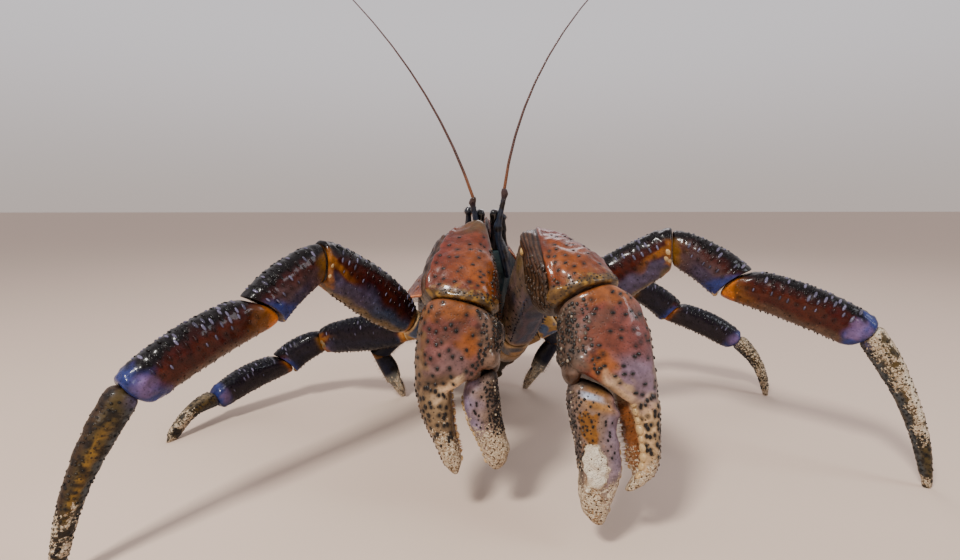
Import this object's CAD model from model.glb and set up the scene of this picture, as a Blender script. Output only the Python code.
"""The looks of a coconut crab at life size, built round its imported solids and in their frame.

Sizes are metres and angles degrees. The crab faces -Y, its left side is +X, and it stands on Z = 0.
A pose row is (length, heading, climb): heading turns forward from straight out, climb is above level.
A key row is (place along the piece, half across, half up, shift across, shift up), with shifts of 0
where it ends early. Turns go round a piece: on an arm 0 is outer, 90 on top and 180 inner, on a palm
or finger 0 is the outer edge and 90 the front face, and on a leg 0 is the front and 90 the top.
"""

import math

import bpy
import mathutils
import numpy as np
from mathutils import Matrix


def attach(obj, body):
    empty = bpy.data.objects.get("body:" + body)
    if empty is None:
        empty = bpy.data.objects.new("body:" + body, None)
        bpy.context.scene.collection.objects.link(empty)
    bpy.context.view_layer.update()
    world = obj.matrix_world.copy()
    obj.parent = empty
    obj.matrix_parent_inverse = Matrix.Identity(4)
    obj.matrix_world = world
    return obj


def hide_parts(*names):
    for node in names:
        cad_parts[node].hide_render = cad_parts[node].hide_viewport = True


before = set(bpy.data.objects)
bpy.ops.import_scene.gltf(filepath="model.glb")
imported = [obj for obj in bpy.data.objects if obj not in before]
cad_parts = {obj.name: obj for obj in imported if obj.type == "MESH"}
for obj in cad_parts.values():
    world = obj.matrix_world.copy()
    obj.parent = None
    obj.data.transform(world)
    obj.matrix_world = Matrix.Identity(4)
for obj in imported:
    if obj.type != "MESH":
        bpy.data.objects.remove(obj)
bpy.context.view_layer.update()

# Claw bases. The first ring of each claw arm is a short thick shell, joined to the breast and to the
# next ring by dark skin. An arm runs from its root joint piece by piece, with flat cuts between them.
GAP = 0.0003
BOX_MIDDLE = np.array((0.0204, -0.0174, 0.0))
ARMS = {
    "claw_r": dict(
        root=(-0.0233, -0.048, 0.084), stub=(80, 20), palm=(121.3, -80.9), wrist_face=(-0.22, -0.5, -0.8),
        rows=((0.0165, 84.0, 33.0), (0.059, 107.5, 60.7), (0.0415, 83.5, -36.0)),
    ),
    "claw_l": dict(
        root=(0.0196, -0.051, 0.084), stub=(86, 20), palm=(87.9, -73.7), wrist_face=(0.29, -0.55, -0.76),
        rows=((0.016, 87.0, 35.3), (0.0675, 77.3, 52.0), (0.0433, 60.9, -24.6)),
    ),
}
ARM_KEYS = {
    "ischium": ((0, 0.01, 0.0115), (1, 0.0105, 0.0122)),
    "merus": ((0.0, 0.01, 0.012), (0.3, 0.012, 0.015), (0.8, 0.013, 0.0165), (1.0, 0.0125, 0.0158)),
    "carpus": ((0.0, 0.0125, 0.0155), (0.25, 0.0185, 0.0195, 0, 0.001), (0.6, 0.0215, 0.021, 0, 0.001),
               (0.9, 0.0205, 0.0185), (1.0, 0.0185, 0.017)),
}
UP = np.array((0, 0, 1.0))
FRONT = np.array((0, -1.0, 0))
# Squareness of the cross sections of the legs, arms and claws, where 2 is a plain oval
LEG_POWER = 2.3
ARM_POWER = 2.6
CLAW_POWER = 2.5


def unit(vector):
    """A vector at length one."""
    return vector / np.linalg.norm(vector)


def sided(point, side):
    """The point itself on the crab's left, and its mirror on the right."""
    return np.array((point[0] if side == "l" else -point[0], point[1], point[2]))


def outward_of(side):
    """The level way out from the crab on one side."""
    return sided((1.0, 0, 0), side)


def bisected(rows, side):
    """The unit directions of a row of pieces, and the face normal at each joint between them."""
    ways = []
    for heading, climb in np.radians(rows):
        level = math.cos(climb)
        ways.append(sided((level * math.cos(heading), -level * math.sin(heading), math.sin(climb)), side))
    return ways, [unit(first + second) for first, second in zip(ways, ways[1:])]


def joints_of(limb, ways):
    """The joints of a limb, from its root on the body to the end of its last pose row."""
    joints = [np.array(limb["root"])]
    for row, way in zip(limb["rows"], ways):
        joints.append(joints[-1] + way * row[0])
    return joints


def eased(keys, place):
    """The sizes at some places, on a smooth curve through the key rows that never overshoots them."""
    rows = np.array(keys, float)
    place = np.asarray(place, float)
    spans = np.diff(rows[:, 0])
    slopes = np.diff(rows[:, 1:], axis=0) / spans[:, None]
    agreed = slopes[:-1] * slopes[1:] > 0
    total = np.where(agreed, slopes[:-1] + slopes[1:], 1.0)
    shared = np.where(agreed, 2 * slopes[:-1] * slopes[1:] / total, 0.0)
    bends = np.vstack([slopes[:1], shared, slopes[-1:]])
    index = np.clip(np.searchsorted(rows[:, 0], place, "right") - 1, 0, len(rows) - 2)
    span = spans[index][..., None]
    step = (place - rows[index, 0])[..., None] / span
    low, high = rows[index, 1:], rows[index + 1, 1:]
    curve = step**2 * (3 - 2 * step) * (high - low) + step * (1 - step) ** 2 * bends[index] * span
    return low + curve - step**2 * (1 - step) * bends[index + 1] * span


class Tube:
    """A shell piece: oval rings along a bowed line between two joints, cut flat at both ends."""

    def __init__(self, start, end, faces, across, up, keys, size=1.0, bow=0.0, power=LEG_POWER):
        self.along = unit(end - start)
        self.up = unit(up - self.along * (up @ self.along))
        across = across - self.along * (across @ self.along)
        self.across = unit(across - self.up * (across @ self.up))
        self.faces = [unit(face) for face in faces]
        self.start = start + self.along * (GAP / 2 / (self.along @ self.faces[0]))
        self.end = end - self.along * (GAP / 2 / (self.along @ self.faces[1]))
        self.length = np.linalg.norm(self.end - self.start)
        self.keys = [(*key, 0, 0)[:5] for key in keys]
        self.size = size
        self.bow = bow
        self.power = power

    def surface(self, place, turn, lift=0.0):
        """Points at some places, turned round from the across side towards the up side, and lifted."""
        place, turn, lift = np.broadcast_arrays(np.asarray(place, float), turn, lift)
        sizes = eased(self.keys, place) * self.size
        cosine = np.cos(np.radians(turn))
        sine = np.sin(np.radians(turn))
        cosine = np.sign(cosine) * np.abs(cosine) ** (2 / self.power)
        sine = np.sign(sine) * np.abs(sine) ** (2 / self.power)
        across = cosine * (sizes[..., 0] + lift) + sizes[..., 2]
        up = sine * (sizes[..., 1] + lift) + sizes[..., 3]
        offset = across[..., None] * self.across + up[..., None] * self.up
        bow = (self.bow * 4 * place * (1 - place))[..., None] * self.up
        near, far = [offset @ face / (self.along @ face) for face in self.faces]
        lean = near * (1 - place) ** 2 + far * place**2
        centre = self.start + (self.end - self.start) * place[..., None] + bow
        return centre + offset - self.along * lean[..., None]

    def frames(self, place, turn, lift=0.0):
        """Surface points, on a relief or lifted, with their outward way and the way to the far end."""
        lift = lift(place, turn, self.surface(place, turn)) if callable(lift) else lift
        foot = self.surface(place, turn, lift)
        ahead = self.surface(place + 0.004, turn, lift) - self.surface(place - 0.004, turn, lift)
        round_way = self.surface(place, turn + 2, lift) - self.surface(place, turn - 2, lift)
        out = np.cross(ahead, round_way)
        out /= np.linalg.norm(out, axis=-1, keepdims=True)
        outer = self.surface(place, turn, lift + 0.001) - foot
        out *= np.sign((out * outer).sum(axis=-1, keepdims=True))
        return foot, out, ahead / np.linalg.norm(ahead, axis=-1, keepdims=True)


def arm_tubes(name):
    """The tubes of the three arm pieces, and the wrist joint, palm axis and wrist cut beyond them."""
    limb = ARMS[name]
    side = name[-1]
    ways, faces = bisected([limb["stub"], *[row[1:] for row in limb["rows"]], limb["palm"]], side)
    faces[-1] = unit(np.array(limb["wrist_face"]))
    joints = joints_of(limb, ways[1:])
    tubes = {}
    for index, piece in enumerate(ARM_KEYS):
        ends, cuts = joints[index : index + 2], faces[index : index + 2]
        tubes[piece] = Tube(*ends, cuts, outward_of(side), UP, ARM_KEYS[piece], power=ARM_POWER)
    return tubes, (joints[-1], ways[-1], faces[-1])


ARM_TUBES = {name: arm_tubes(name) for name in ARMS}


def tone(red, green, blue):
    """A colour named by its screen values, as linear light."""
    values = np.array((red, green, blue)) / 255
    return np.where(values <= 0.04045, values / 12.92, ((values + 0.055) / 1.055) ** 2.4)


def ramp(value, low, high):
    """A smooth rise from 0 to 1 between two values, or a fall where the first is the higher."""
    step = np.clip((np.asarray(value, float) - low) / (high - low), 0, 1)
    return step * step * (3 - 2 * step)


def about(turn, centre, half):
    """1 at one turn round a piece, easing to 0 some degrees away from it."""
    return 1 - ramp(np.abs((np.asarray(turn) - centre + 180) % 360 - 180), 0, half)


def mottle(points, size, seed, waves=15):
    """Smooth random values near -1 to 1 over some points, in blotches of about one size."""
    chance = np.random.default_rng(seed)
    ways = chance.normal(size=(3, waves))
    ways *= 2 * math.pi / size * chance.uniform(0.4, 1.1, waves) / np.linalg.norm(ways, axis=0)
    return np.sin(points @ ways + chance.uniform(0, 2 * math.pi, waves)).sum(axis=-1) / math.sqrt(waves)


def layered(place, tint, *layers):
    """A tint at some places, with layers of (colour, mask) laid over it in order."""
    tint = np.broadcast_to(tint, (*np.shape(place), 3))
    for colour, mask in layers:
        mask = np.clip(mask, 0, 1)[..., None]
        tint = tint * (1 - mask) + colour * mask
    return tint


def wire(tree, kind, inputs=None, **settings):
    """One shader node with its settings, its values and its links."""
    node = tree.nodes.new("ShaderNode" + kind)
    for name, value in settings.items():
        setattr(node, name, value)
    for key, value in (inputs or {}).items():
        if isinstance(value, bpy.types.NodeSocket):
            tree.links.new(value, node.inputs[key])
        else:
            node.inputs[key].default_value = value
    return node


def blended(tree, factor, first, second, blend="MIX"):
    """A mix of two colours in a shader tree."""
    node = wire(tree, "Mix", {0: factor, 6: first, 7: second}, data_type="RGBA", blend_type=blend)
    return node.outputs[2]


def faded(tree, value, low, high, first=0.0, last=1.0):
    """A value mapped from one range to another in a shader tree."""
    inputs = {"Value": value, "From Min": low, "From Max": high, "To Min": first, "To Max": last}
    return wire(tree, "MapRange", inputs, interpolation_type="SMOOTHSTEP").outputs["Result"]


def product(tree, first, second, operation="MULTIPLY"):
    """Two values put together in a shader tree."""
    return wire(tree, "Math", {0: first, 1: second}, operation=operation).outputs["Value"]


def shell_finish(name, rough, coat, pit_size=0.0016, pit_depth=0.00012, grain=0.25, level=0.25):
    """A crab-shell finish: painted tint, fine grain, pits, specks and clinging sand."""
    material = bpy.data.materials.new(name)
    material.use_nodes = True
    tree = material.node_tree
    shader = tree.nodes["Principled BSDF"]
    place = wire(tree, "TexCoord").outputs["Object"]
    tint = wire(tree, "Attribute", attribute_name="tint").outputs["Color"]
    speck = wire(tree, "Attribute", attribute_name="speck").outputs["Fac"]
    sand = wire(tree, "Attribute", attribute_name="sand").outputs["Fac"]
    cloud = wire(tree, "TexNoise", {"Vector": place, "Scale": 220.0, "Detail": 6.0, "Roughness": 0.65})
    fine = wire(tree, "TexNoise", {"Vector": place, "Scale": 1400.0, "Detail": 3.0})
    pits = wire(tree, "TexVoronoi", {"Vector": place, "Scale": 1 / pit_size, "Randomness": 0.9})
    pit = faded(tree, pits.outputs["Distance"], 0.12, 0.42)
    shade = faded(tree, cloud.outputs["Fac"], 0.3, 0.7, 1 - grain, 1 + grain)
    shade = product(tree, shade, faded(tree, pit, 0.0, 1.0, 0.72, 1.05))
    colour = blended(tree, 1.0, tint, shade, "MULTIPLY")
    dots = wire(tree, "TexVoronoi", {"Vector": place, "Scale": 420.0, "Randomness": 0.85})
    edge = faded(tree, speck, 0.0, 1.0, 0.0, 0.42)
    dot = product(tree, dots.outputs["Distance"], edge, "LESS_THAN")
    colour = blended(tree, product(tree, dot, 0.88), colour, (0.012, 0.006, 0.004, 1))
    grains = wire(tree, "TexVoronoi", {"Vector": place, "Scale": 1250.0, "Randomness": 1.0})
    chance = wire(tree, "SeparateColor", {0: grains.outputs["Color"]})
    patch = faded(tree, cloud.outputs["Fac"], 0.36, 0.62, -0.25, 0.25)
    covered = product(tree, product(tree, sand, patch, "ADD"), chance.outputs[0], "GREATER_THAN")
    covered = product(tree, covered, faded(tree, sand, 0.01, 0.08))
    light = blended(tree, chance.outputs[1], (0.36, 0.25, 0.15, 1), (0.66, 0.55, 0.4, 1))
    light = blended(tree, faded(tree, sand, 1.0, 1.4, 0.0, 0.8), light, (0.68, 0.6, 0.48, 1))
    rare = product(tree, chance.outputs[2], faded(tree, sand, 0.9, 1.3, 0.86, 0.985), "GREATER_THAN")
    mixed_grain = blended(tree, rare, light, (0.09, 0.055, 0.03, 1))
    tree.links.new(blended(tree, covered, colour, mixed_grain), shader.inputs["Base Color"])
    dull = faded(tree, fine.outputs["Fac"], 0.35, 0.65, rough * 0.75, rough * 1.35)
    dull = wire(tree, "Mix", {0: covered, 2: dull, 3: 0.95}, data_type="FLOAT").outputs[0]
    tree.links.new(dull, shader.inputs["Roughness"])
    tree.links.new(faded(tree, covered, 0.0, 1.0, coat, 0.0), shader.inputs["Coat Weight"])
    shader.inputs["Coat Roughness"].default_value = 0.09
    shader.inputs["Specular IOR Level"].default_value = level
    relief = wire(tree, "Bump", {"Strength": 1.0, "Distance": pit_depth, "Height": pit})
    weave = wire(tree, "Bump", {"Strength": 0.5, "Distance": 0.00025, "Height": cloud.outputs["Fac"]})
    tree.links.new(relief.outputs["Normal"], weave.inputs["Normal"])
    lump = product(tree, covered, faded(tree, grains.outputs["Distance"], 0.0, 0.7, 1.0, 0.0))
    crust = wire(tree, "Bump", {"Strength": 1.0, "Distance": 0.0005, "Height": lump})
    tree.links.new(weave.outputs["Normal"], crust.inputs["Normal"])
    tree.links.new(crust.outputs["Normal"], shader.inputs["Normal"])
    return material


def painted(mesh, looks):
    """Lays the tint, the specks and the sand on a mesh's points."""
    tint, speck, sand = looks
    colours = np.ones((len(mesh.vertices), 4))
    colours[:, :3] = np.reshape(tint, (-1, 3))
    mesh.attributes.new("tint", "FLOAT_COLOR", "POINT").data.foreach_set("color", colours.ravel())
    for name, values in (("speck", speck), ("sand", sand)):
        layer = np.ascontiguousarray(np.broadcast_to(values, np.shape(tint)[:-1])).ravel()
        mesh.attributes.new(name, "FLOAT", "POINT").data.foreach_set("value", layer)


def outward_faces(points, faces):
    """Faces turned so that a closed surface encloses a positive volume."""
    corners = points[np.array([face for face in faces if len(face) == 4])]
    spin = np.cross(corners[:, 2] - corners[:, 0], corners[:, 3] - corners[:, 1])
    return [face[::-1] for face in faces] if (corners.mean(axis=1) * spin).sum() < 0 else faces


def laid_mesh(node, points, looks, material, faces=None):
    """A mesh from points in design coordinates and painted values, with the faces of its grid or its own."""
    name = "crab_" + node
    faces = faces or grid_faces(*points.shape[:2])
    points = points.reshape(-1, 3)
    mesh = bpy.data.meshes.new(name)
    mesh.from_pydata((points - BOX_MIDDLE).tolist(), [], outward_faces(points, faces))
    painted(mesh, looks)
    mesh.materials.append(material)
    mesh.shade_smooth()
    item = bpy.data.objects.new(name, mesh)
    bpy.context.scene.collection.objects.link(item)
    return item


def grid_faces(rows, around):
    """Corner numbers of the faces between the rings of a closed grid, and of its two end faces."""
    row = np.arange(rows - 1)[:, None] * around
    step = np.arange(around)[None, :]
    ahead = (step + 1) % around
    corners = (row + step, row + ahead, row + around + ahead, row + around + step)
    faces = np.stack(corners, axis=-1).reshape(-1, 4).tolist()
    first = list(range(around))
    last = [corner + (rows - 1) * around for corner in first]
    return [*faces, first[::-1], last]


RIM_STEPS = 7
CAP_RINGS = (0.86, 0.55, 0.2, 0.01)


def tube_grid(tube, cell, relief=None, rims=(0.002, 0.001), tip=False, sags=(0.0, 0.0)):
    """Places, turns and points of a fine skin along a tube, with rounded rims and dished ends."""
    around = 2 * int(3.1 * max(eased(tube.keys, 0.4)[:2]) * tube.size / cell)
    reach = [min(rim / tube.length, 0.15) for rim in rims]
    bend = 1 - np.cos(np.linspace(0, math.pi / 2, RIM_STEPS))
    count = max(int(tube.length / cell), 8)
    middle = np.linspace(reach[0], 1 - reach[1], count)[1:-1]
    place = np.concatenate([reach[0] * bend, middle, 1 - reach[1] * bend[::-1]])
    turn = (np.arange(around) + 0.5) * 360 / around
    places, turns = np.meshgrid(place, turn, indexing="ij")
    lift = np.zeros(places.shape)
    for rim, near in ((rims[0], places), (rims[1], 1 - places)):
        depth = np.clip(rim - near * tube.length, 0, rim)
        lift -= rim - np.sqrt(rim**2 - depth**2)
    if relief is not None:
        calm = ramp(np.minimum(places, 2 if tip else 1 - places) * tube.length, 0, 0.005)
        lift = lift + relief(places, turns, tube.surface(places, turns)) * calm
    slim = eased(tube.keys, places)[..., :2].min(axis=-1) * tube.size
    points = tube.surface(places, turns, np.maximum(lift, -0.8 * slim))
    arch = np.cos(np.radians(turns)) ** 2
    slide = sags[0] * ramp(places, 0.3, 0.0) + sags[1] * ramp(places, 0.7, 1.0)
    points = points - (slide * arch)[..., None] * tube.along
    rings = [points]
    for end, way in ((0, 1), (-1, -1)):
        ring = points[end]
        centre = ring.mean(axis=0)
        dish = 0 if (tip and end) else rims[end] * 1.4
        dished = tube.along * way * dish
        caps = [centre + (ring - centre) * part + dished * (1 - part**2) for part in CAP_RINGS]
        rings = [np.array(caps[::-1]), *rings] if end == 0 else [*rings, np.array(caps)]
    return places, turns, np.concatenate(rings)


def shell(node, tube, paint, material, cell, relief=None, rims=(0.002, 0.001), tip=False, joint=None,
          sags=(0.0, 0.0)):
    """A fine shell skin along a tube, painted, with its joint ends in the colour of the joint skin."""
    places, turns, points = tube_grid(tube, cell, relief, rims, tip, sags)
    tint, speck, sand = paint(places, turns, tube.surface(places, turns))
    speck = speck * ramp(np.minimum(places, 1 - places) * tube.length, 0.001, 0.003)
    looks = []
    ends = len(CAP_RINGS)
    for values in (tint, speck, sand):
        values = np.broadcast_to(values, places.shape + np.shape(values)[2:])
        low = np.repeat(values[:1], ends, axis=0)
        high = np.repeat(values[-1:], ends, axis=0)
        looks.append(np.concatenate([low, values, high]))
    if joint is not None:
        looks[0][:ends] = joint
        if not tip:
            looks[0][-ends:] = joint * 0.35
    return laid_mesh(node, points, looks, material)


def handed(item, node):
    """Hands a piece over: it rides on the crab, stands for its node and names its finish."""
    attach(item, "root")
    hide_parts(node)


CREAM = tone(188, 156, 110)
SKIN = tone(150, 96, 44)
BASE_CELL = 0.0011
limb_base_shell = shell_finish("belly_blue_shell", 0.45, 0.12)


def ischium_paint(seed, shade=0.0):
    """Colours of a short limb base: yellow-cream rims round a blue patch, darker on the claws."""

    def paint(place, turn, points):
        blotch = mottle(points, 0.008, seed)
        return layered(
            place, tone(140, 104, 54),
            (tone(60, 76, 104), ramp(blotch + 1.6 * (0.5 - np.abs(place - 0.5)), 0.35, 1.0)),
            (CREAM, ramp(np.abs(place - 0.5), 0.36, 0.48)),
            (tone(44, 42, 48), shade * ramp(blotch, -1.6, 0.2)),
        ), 0.1, 0.0

    return paint


for name, (tubes, _) in ARM_TUBES.items():
    node = "claw_ischium_" + name[-1]
    skin = SKIN * 0.3
    item = shell(node, tubes["ischium"], ischium_paint(11, 0.95), limb_base_shell, BASE_CELL, joint=skin)
    handed(item, node)

# Upper arms. The long second piece of each claw arm is grey-brown shell with a blue underside and a
# mustard end, dotted with low dark knobs on top and edged below with two rows of small spines.
SWELL_RIMS = (0.003, 0.0015)


def small_shape(name, sides, levels, lean=0.0):
    """A small closed shape of height 1 from rings of (height, radius), leaning along X as it rises."""
    turns = 2 * math.pi * np.arange(sides) / sides
    rows = [(lean * max(height, 0) ** 2, radius, height) for height, radius in levels]
    points = [(shift + radius * math.cos(turn), radius * math.sin(turn), height)
              for shift, radius, height in rows for turn in turns]
    mesh = bpy.data.meshes.new(name)
    mesh.from_pydata(points, [], grid_faces(len(levels), sides))
    return bpy.data.objects.new(name, mesh)


def dome(count, shoulder=1.0):
    """Levels of a dome with its root sunk below the surface."""
    turns = np.linspace(0, 0.93 * math.pi / 2, count)
    return ((-0.6, 1.04), *((math.sin(turn) ** shoulder, math.cos(turn)) for turn in turns))


KNOB = small_shape("knob", 8, dome(5), 0.3)
SPINE = small_shape("spine", 6, ((-0.4, 1.1), (0.1, 0.9), (0.45, 0.6), (0.8, 0.28), (1.0, 0.06)), 0.7)


def row_tree():
    """Geometry Nodes that set copies of one shape on the points of another object and join them."""
    group = bpy.data.node_groups.new("shapes_on_points", "GeometryNodeTree")
    sockets = ("Geometry", "Geometry"), ("Points", "Object"), ("Shape", "Object"), ("Finish", "Material")
    for name, kind in (*sockets, ("Size", "Float"), ("Size spread", "Float"), ("Seed", "Int")):
        group.interface.new_socket(name, in_out="INPUT", socket_type="NodeSocket" + kind)
    group.interface.new_socket("Geometry", in_out="OUTPUT", socket_type="NodeSocketGeometry")

    def node(kind, operation=None, **inputs):
        made = group.nodes.new(kind)
        if operation:
            made.operation = operation
        for key, value in inputs.items():
            key = int(key[1:]) if key[1:].isdigit() else key.replace("_", " ")
            if isinstance(value, bpy.types.NodeSocket):
                group.links.new(value, made.inputs[key])
            else:
                made.inputs[key].default_value = value
        return made

    def carried(name):
        made = node("GeometryNodeInputNamedAttribute", Name=name)
        made.data_type = "FLOAT_VECTOR"
        return made.outputs["Attribute"]

    entry = node("NodeGroupInput").outputs
    smallest = node("ShaderNodeMath", "SUBTRACT", s0=1.0, s1=entry["Size spread"])
    spread = node("FunctionNodeRandomValue", Seed=entry["Seed"], s2=smallest.outputs[0], s3=1.0)
    sized = node("ShaderNodeMath", "MULTIPLY", s0=spread.outputs[1], s1=entry["Size"])
    scaled = node("ShaderNodeVectorMath", "SCALE", s0=carried("scale"), Scale=sized.outputs[0])
    turned = node("FunctionNodeAxesToRotation", Primary_Axis=carried("out"), Secondary_Axis=carried("lie"))
    turned.primary_axis = "Z"
    turned.secondary_axis = "X"
    points = node("GeometryNodeObjectInfo", Object=entry["Points"])
    shape = node("GeometryNodeObjectInfo", Object=entry["Shape"])
    placed = node("GeometryNodeInstanceOnPoints", Points=points.outputs["Geometry"],
                  Instance=shape.outputs["Geometry"], Rotation=turned.outputs["Rotation"],
                  Scale=scaled.outputs[0])
    real = node("GeometryNodeRealizeInstances", Geometry=placed.outputs["Instances"])
    smooth = node("GeometryNodeSetShadeSmooth", Geometry=real.outputs["Geometry"])
    coated = node("GeometryNodeSetMaterial", Geometry=smooth.outputs["Geometry"], Material=entry["Finish"])
    joined = node("GeometryNodeJoinGeometry", Geometry=coated.outputs["Geometry"])
    group.links.new(entry["Geometry"], joined.inputs["Geometry"])
    node("NodeGroupOutput", Geometry=joined.outputs["Geometry"])
    return group


ROW_TREE = row_tree()
ROW_INPUTS = [entry for entry in ROW_TREE.interface.items_tree if entry.in_out == "INPUT"]
ROW_SOCKETS = {entry.name: entry.identifier for entry in ROW_INPUTS}


def made_real(item):
    """Gives an item the mesh that its modifiers make, and takes the modifiers off."""
    bpy.context.view_layer.update()
    made = bpy.data.meshes.new_from_object(item.evaluated_get(bpy.context.evaluated_depsgraph_get()))
    item.modifiers.clear()
    made.name = item.name
    item.data = made
    return made


def set_on(item, shape, feet, scale, tint, seed, spread=0.3):
    """Sets a small shape on an item at feet (point, outward way, way it lies), and makes it real."""
    foot, out, lie = [np.reshape(part, (-1, 3)) for part in feet]
    mesh = bpy.data.meshes.new("feet")
    mesh.from_pydata((foot - BOX_MIDDLE).tolist(), [], [])
    painted(mesh, (np.broadcast_to(tint, foot.shape), 0.0, 0.0))
    for name, values in (("out", out), ("lie", lie), ("scale", np.broadcast_to(scale, foot.shape))):
        layer = mesh.attributes.new(name, "FLOAT_VECTOR", "POINT")
        layer.data.foreach_set("vector", np.ascontiguousarray(values).ravel())
    points = bpy.data.objects.new("feet", mesh)
    modifier = item.modifiers.new("set", "NODES")
    modifier.node_group = ROW_TREE
    values = {"Points": points, "Shape": shape, "Finish": item.data.materials[0]}
    values.update({"Size": 1.0, "Size spread": spread, "Seed": seed})
    for name, value in values.items():
        modifier[ROW_SOCKETS[name]] = value
    made_real(item)
    bpy.data.objects.remove(points, do_unlink=True)


def stained(item, feet, colour, radius, strength):
    """Stains the skin of an item round some feet."""
    mesh = item.data
    flat = np.empty(len(mesh.vertices) * 3)
    mesh.vertices.foreach_get("co", flat)
    points = flat.reshape(-1, 3) + BOX_MIDDLE
    near = np.full(len(points), np.inf)
    for foot in np.reshape(feet, (-1, 3)):
        near = np.minimum(near, ((points - foot) ** 2).sum(axis=1))
    colours = np.empty(len(mesh.vertices) * 4)
    layer = mesh.attributes["tint"].data
    layer.foreach_get("color", colours)
    colours = colours.reshape(-1, 4)
    stain = ramp(np.sqrt(near), radius, radius * 0.3) * strength
    colours[:, :3] = layered(near, colours[:, :3], (colour, stain))
    layer.foreach_set("color", colours.ravel())


def rows_of(turns, places, count, seed, stray=(4.0, 0.3), kept=1.0):
    """Places and turns of staggered rows along a piece, each a bit astray, some left out."""
    chance = np.random.default_rng(seed)
    row, step = np.meshgrid(np.arange(len(turns)), np.arange(count), indexing="ij")
    shift = chance.uniform(-stray[1], stray[1], row.shape) + 0.5 * (row % 2)
    part = (step + 0.25 + shift) / count
    place = places[0] + (places[1] - places[0]) * np.clip(part, 0, 1)
    turn = np.array(turns, float)[row] + chance.uniform(-stray[0], stray[0], row.shape)
    held = chance.random(row.shape) < kept
    return place[held], turn[held]


def shaded(tint, count, seed, low, high):
    """A tint for each of some pieces, made lighter or darker by chance."""
    chance = np.random.default_rng(seed)
    return np.broadcast_to(tint, (count, 3)) * chance.uniform(low, high, (count, 1))


def studded(item, tube, rows, shape, size, tint, seed, spread=0.3, stain=None, lift=0.0, moved=None):
    """Sets a small shape in rows along a tube, each in a stain of (colour, radius, strength) if any."""
    place, turn = rows_of(*rows)
    feet = tube.frames(place, turn, lift)
    if moved:
        feet = (moved(feet[0]), *feet[1:])
    if stain:
        stained(item, feet[0], *stain)
    set_on(item, shape, feet, size, tint(len(place)) if callable(tint) else tint, seed, spread)


DARK = tone(16, 9, 6)


def merus_paint(place, turn, points):
    """Colours of the upper arm: grey-brown with an amber end and a blue underside."""
    blotch = mottle(points, 0.012, 12)
    streak = np.sin(np.radians(turn) * 9 + 1.5 * blotch) * ramp(place, 0.98, 0.8)
    return layered(
        place, tone(88, 70, 58),
        (tone(44, 42, 52), ramp(blotch, -0.6, 0.9)),
        (tone(48, 54, 74), about(turn, 270, 75)),
        (tone(98, 74, 34), ramp(place, 0.55, 0.92) * ramp(blotch, -0.8, 0.8) * 0.8),
        (tone(96, 72, 74), ramp(streak, 0.1, 0.9) * 0.45),
        (tone(128, 104, 60), about(turn, 176, 60) * ramp(place, 0.55, 0.15) * ramp(blotch, -1.4, 0.4)),
        (tone(140, 108, 66), ramp(place, 0.12, 0.0)),
    ), 0.18, 0.0


def swellings(place, turn, points):
    """Low swellings of a smooth shell."""
    return mottle(points, 0.009, 9) * 0.0003 + mottle(points, 0.0035, 11) * 0.0001


for name, (tubes, _) in ARM_TUBES.items():
    node = "claw_merus_" + name[-1]
    merus = tubes["merus"]
    item = shell(node, merus, merus_paint, limb_base_shell, 0.001, swellings, SWELL_RIMS, joint=SKIN * 0.4)
    rows = (range(50, 230, 14), (0.1, 0.9), 12, 13, (5, 0.4), 0.8)
    studded(item, merus, rows, KNOB, (0.0006, 0.0011, 0.0004), tone(34, 26, 24), 14, 0.4)
    rows = ((232, 308), (0.08, 0.84), 16, 15, (3, 0.1))
    studded(item, merus, rows, SPINE, (0.001, 0.001, 0.0018), tone(50, 46, 56), 16)
    handed(item, node)

# Wrists. The third piece of each claw arm is the orange-red block that carries the claw, ridged
# across its top, with a sharp fold down to a striped flank and two knuckles beside its far joint.
ORANGE = tone(101, 42, 20)
SCARLET = tone(100, 32, 22)
PINK = tone(112, 52, 50)
AMBER = tone(132, 70, 19)
KHAKI = tone(84, 64, 36)
SLATE = tone(52, 56, 66)
WRIST_CAST = np.array((0.82, 0.74, 0.62))
WRIST_SEED = {"claw_r": 24, "claw_l": 21}
claw_shell = shell_finish("claw_orange_shell", 0.38, 0.34)


def past_fold(name, place, turn):
    """Degrees past the fold where a wrist piece turns into its striped flank, and how far it is flank."""
    turn = (turn + 90) % 360 - 90
    past = turn - 90 - 105 * place if name == "claw_l" else 76 - 42 * place - turn
    return past, ramp(past, -3, 4) * ramp(past, 85, 62)


def condyle(place, turn):
    """Zero at the middle of the two hinge knuckles beside a wrist joint, one at their edges."""
    return ((place - 0.89) / 0.08) ** 2 + (((turn - 174 + 90) % 180 - 90) / 17) ** 2


def cross_lines(place, turn, points):
    """The wave of the fine ridges that run across the top of a wrist piece."""
    return np.sin(place * 2 * math.pi * 10 + np.radians(turn) * 1.4 + mottle(points, 0.015, 5) * 1.3)


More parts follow.
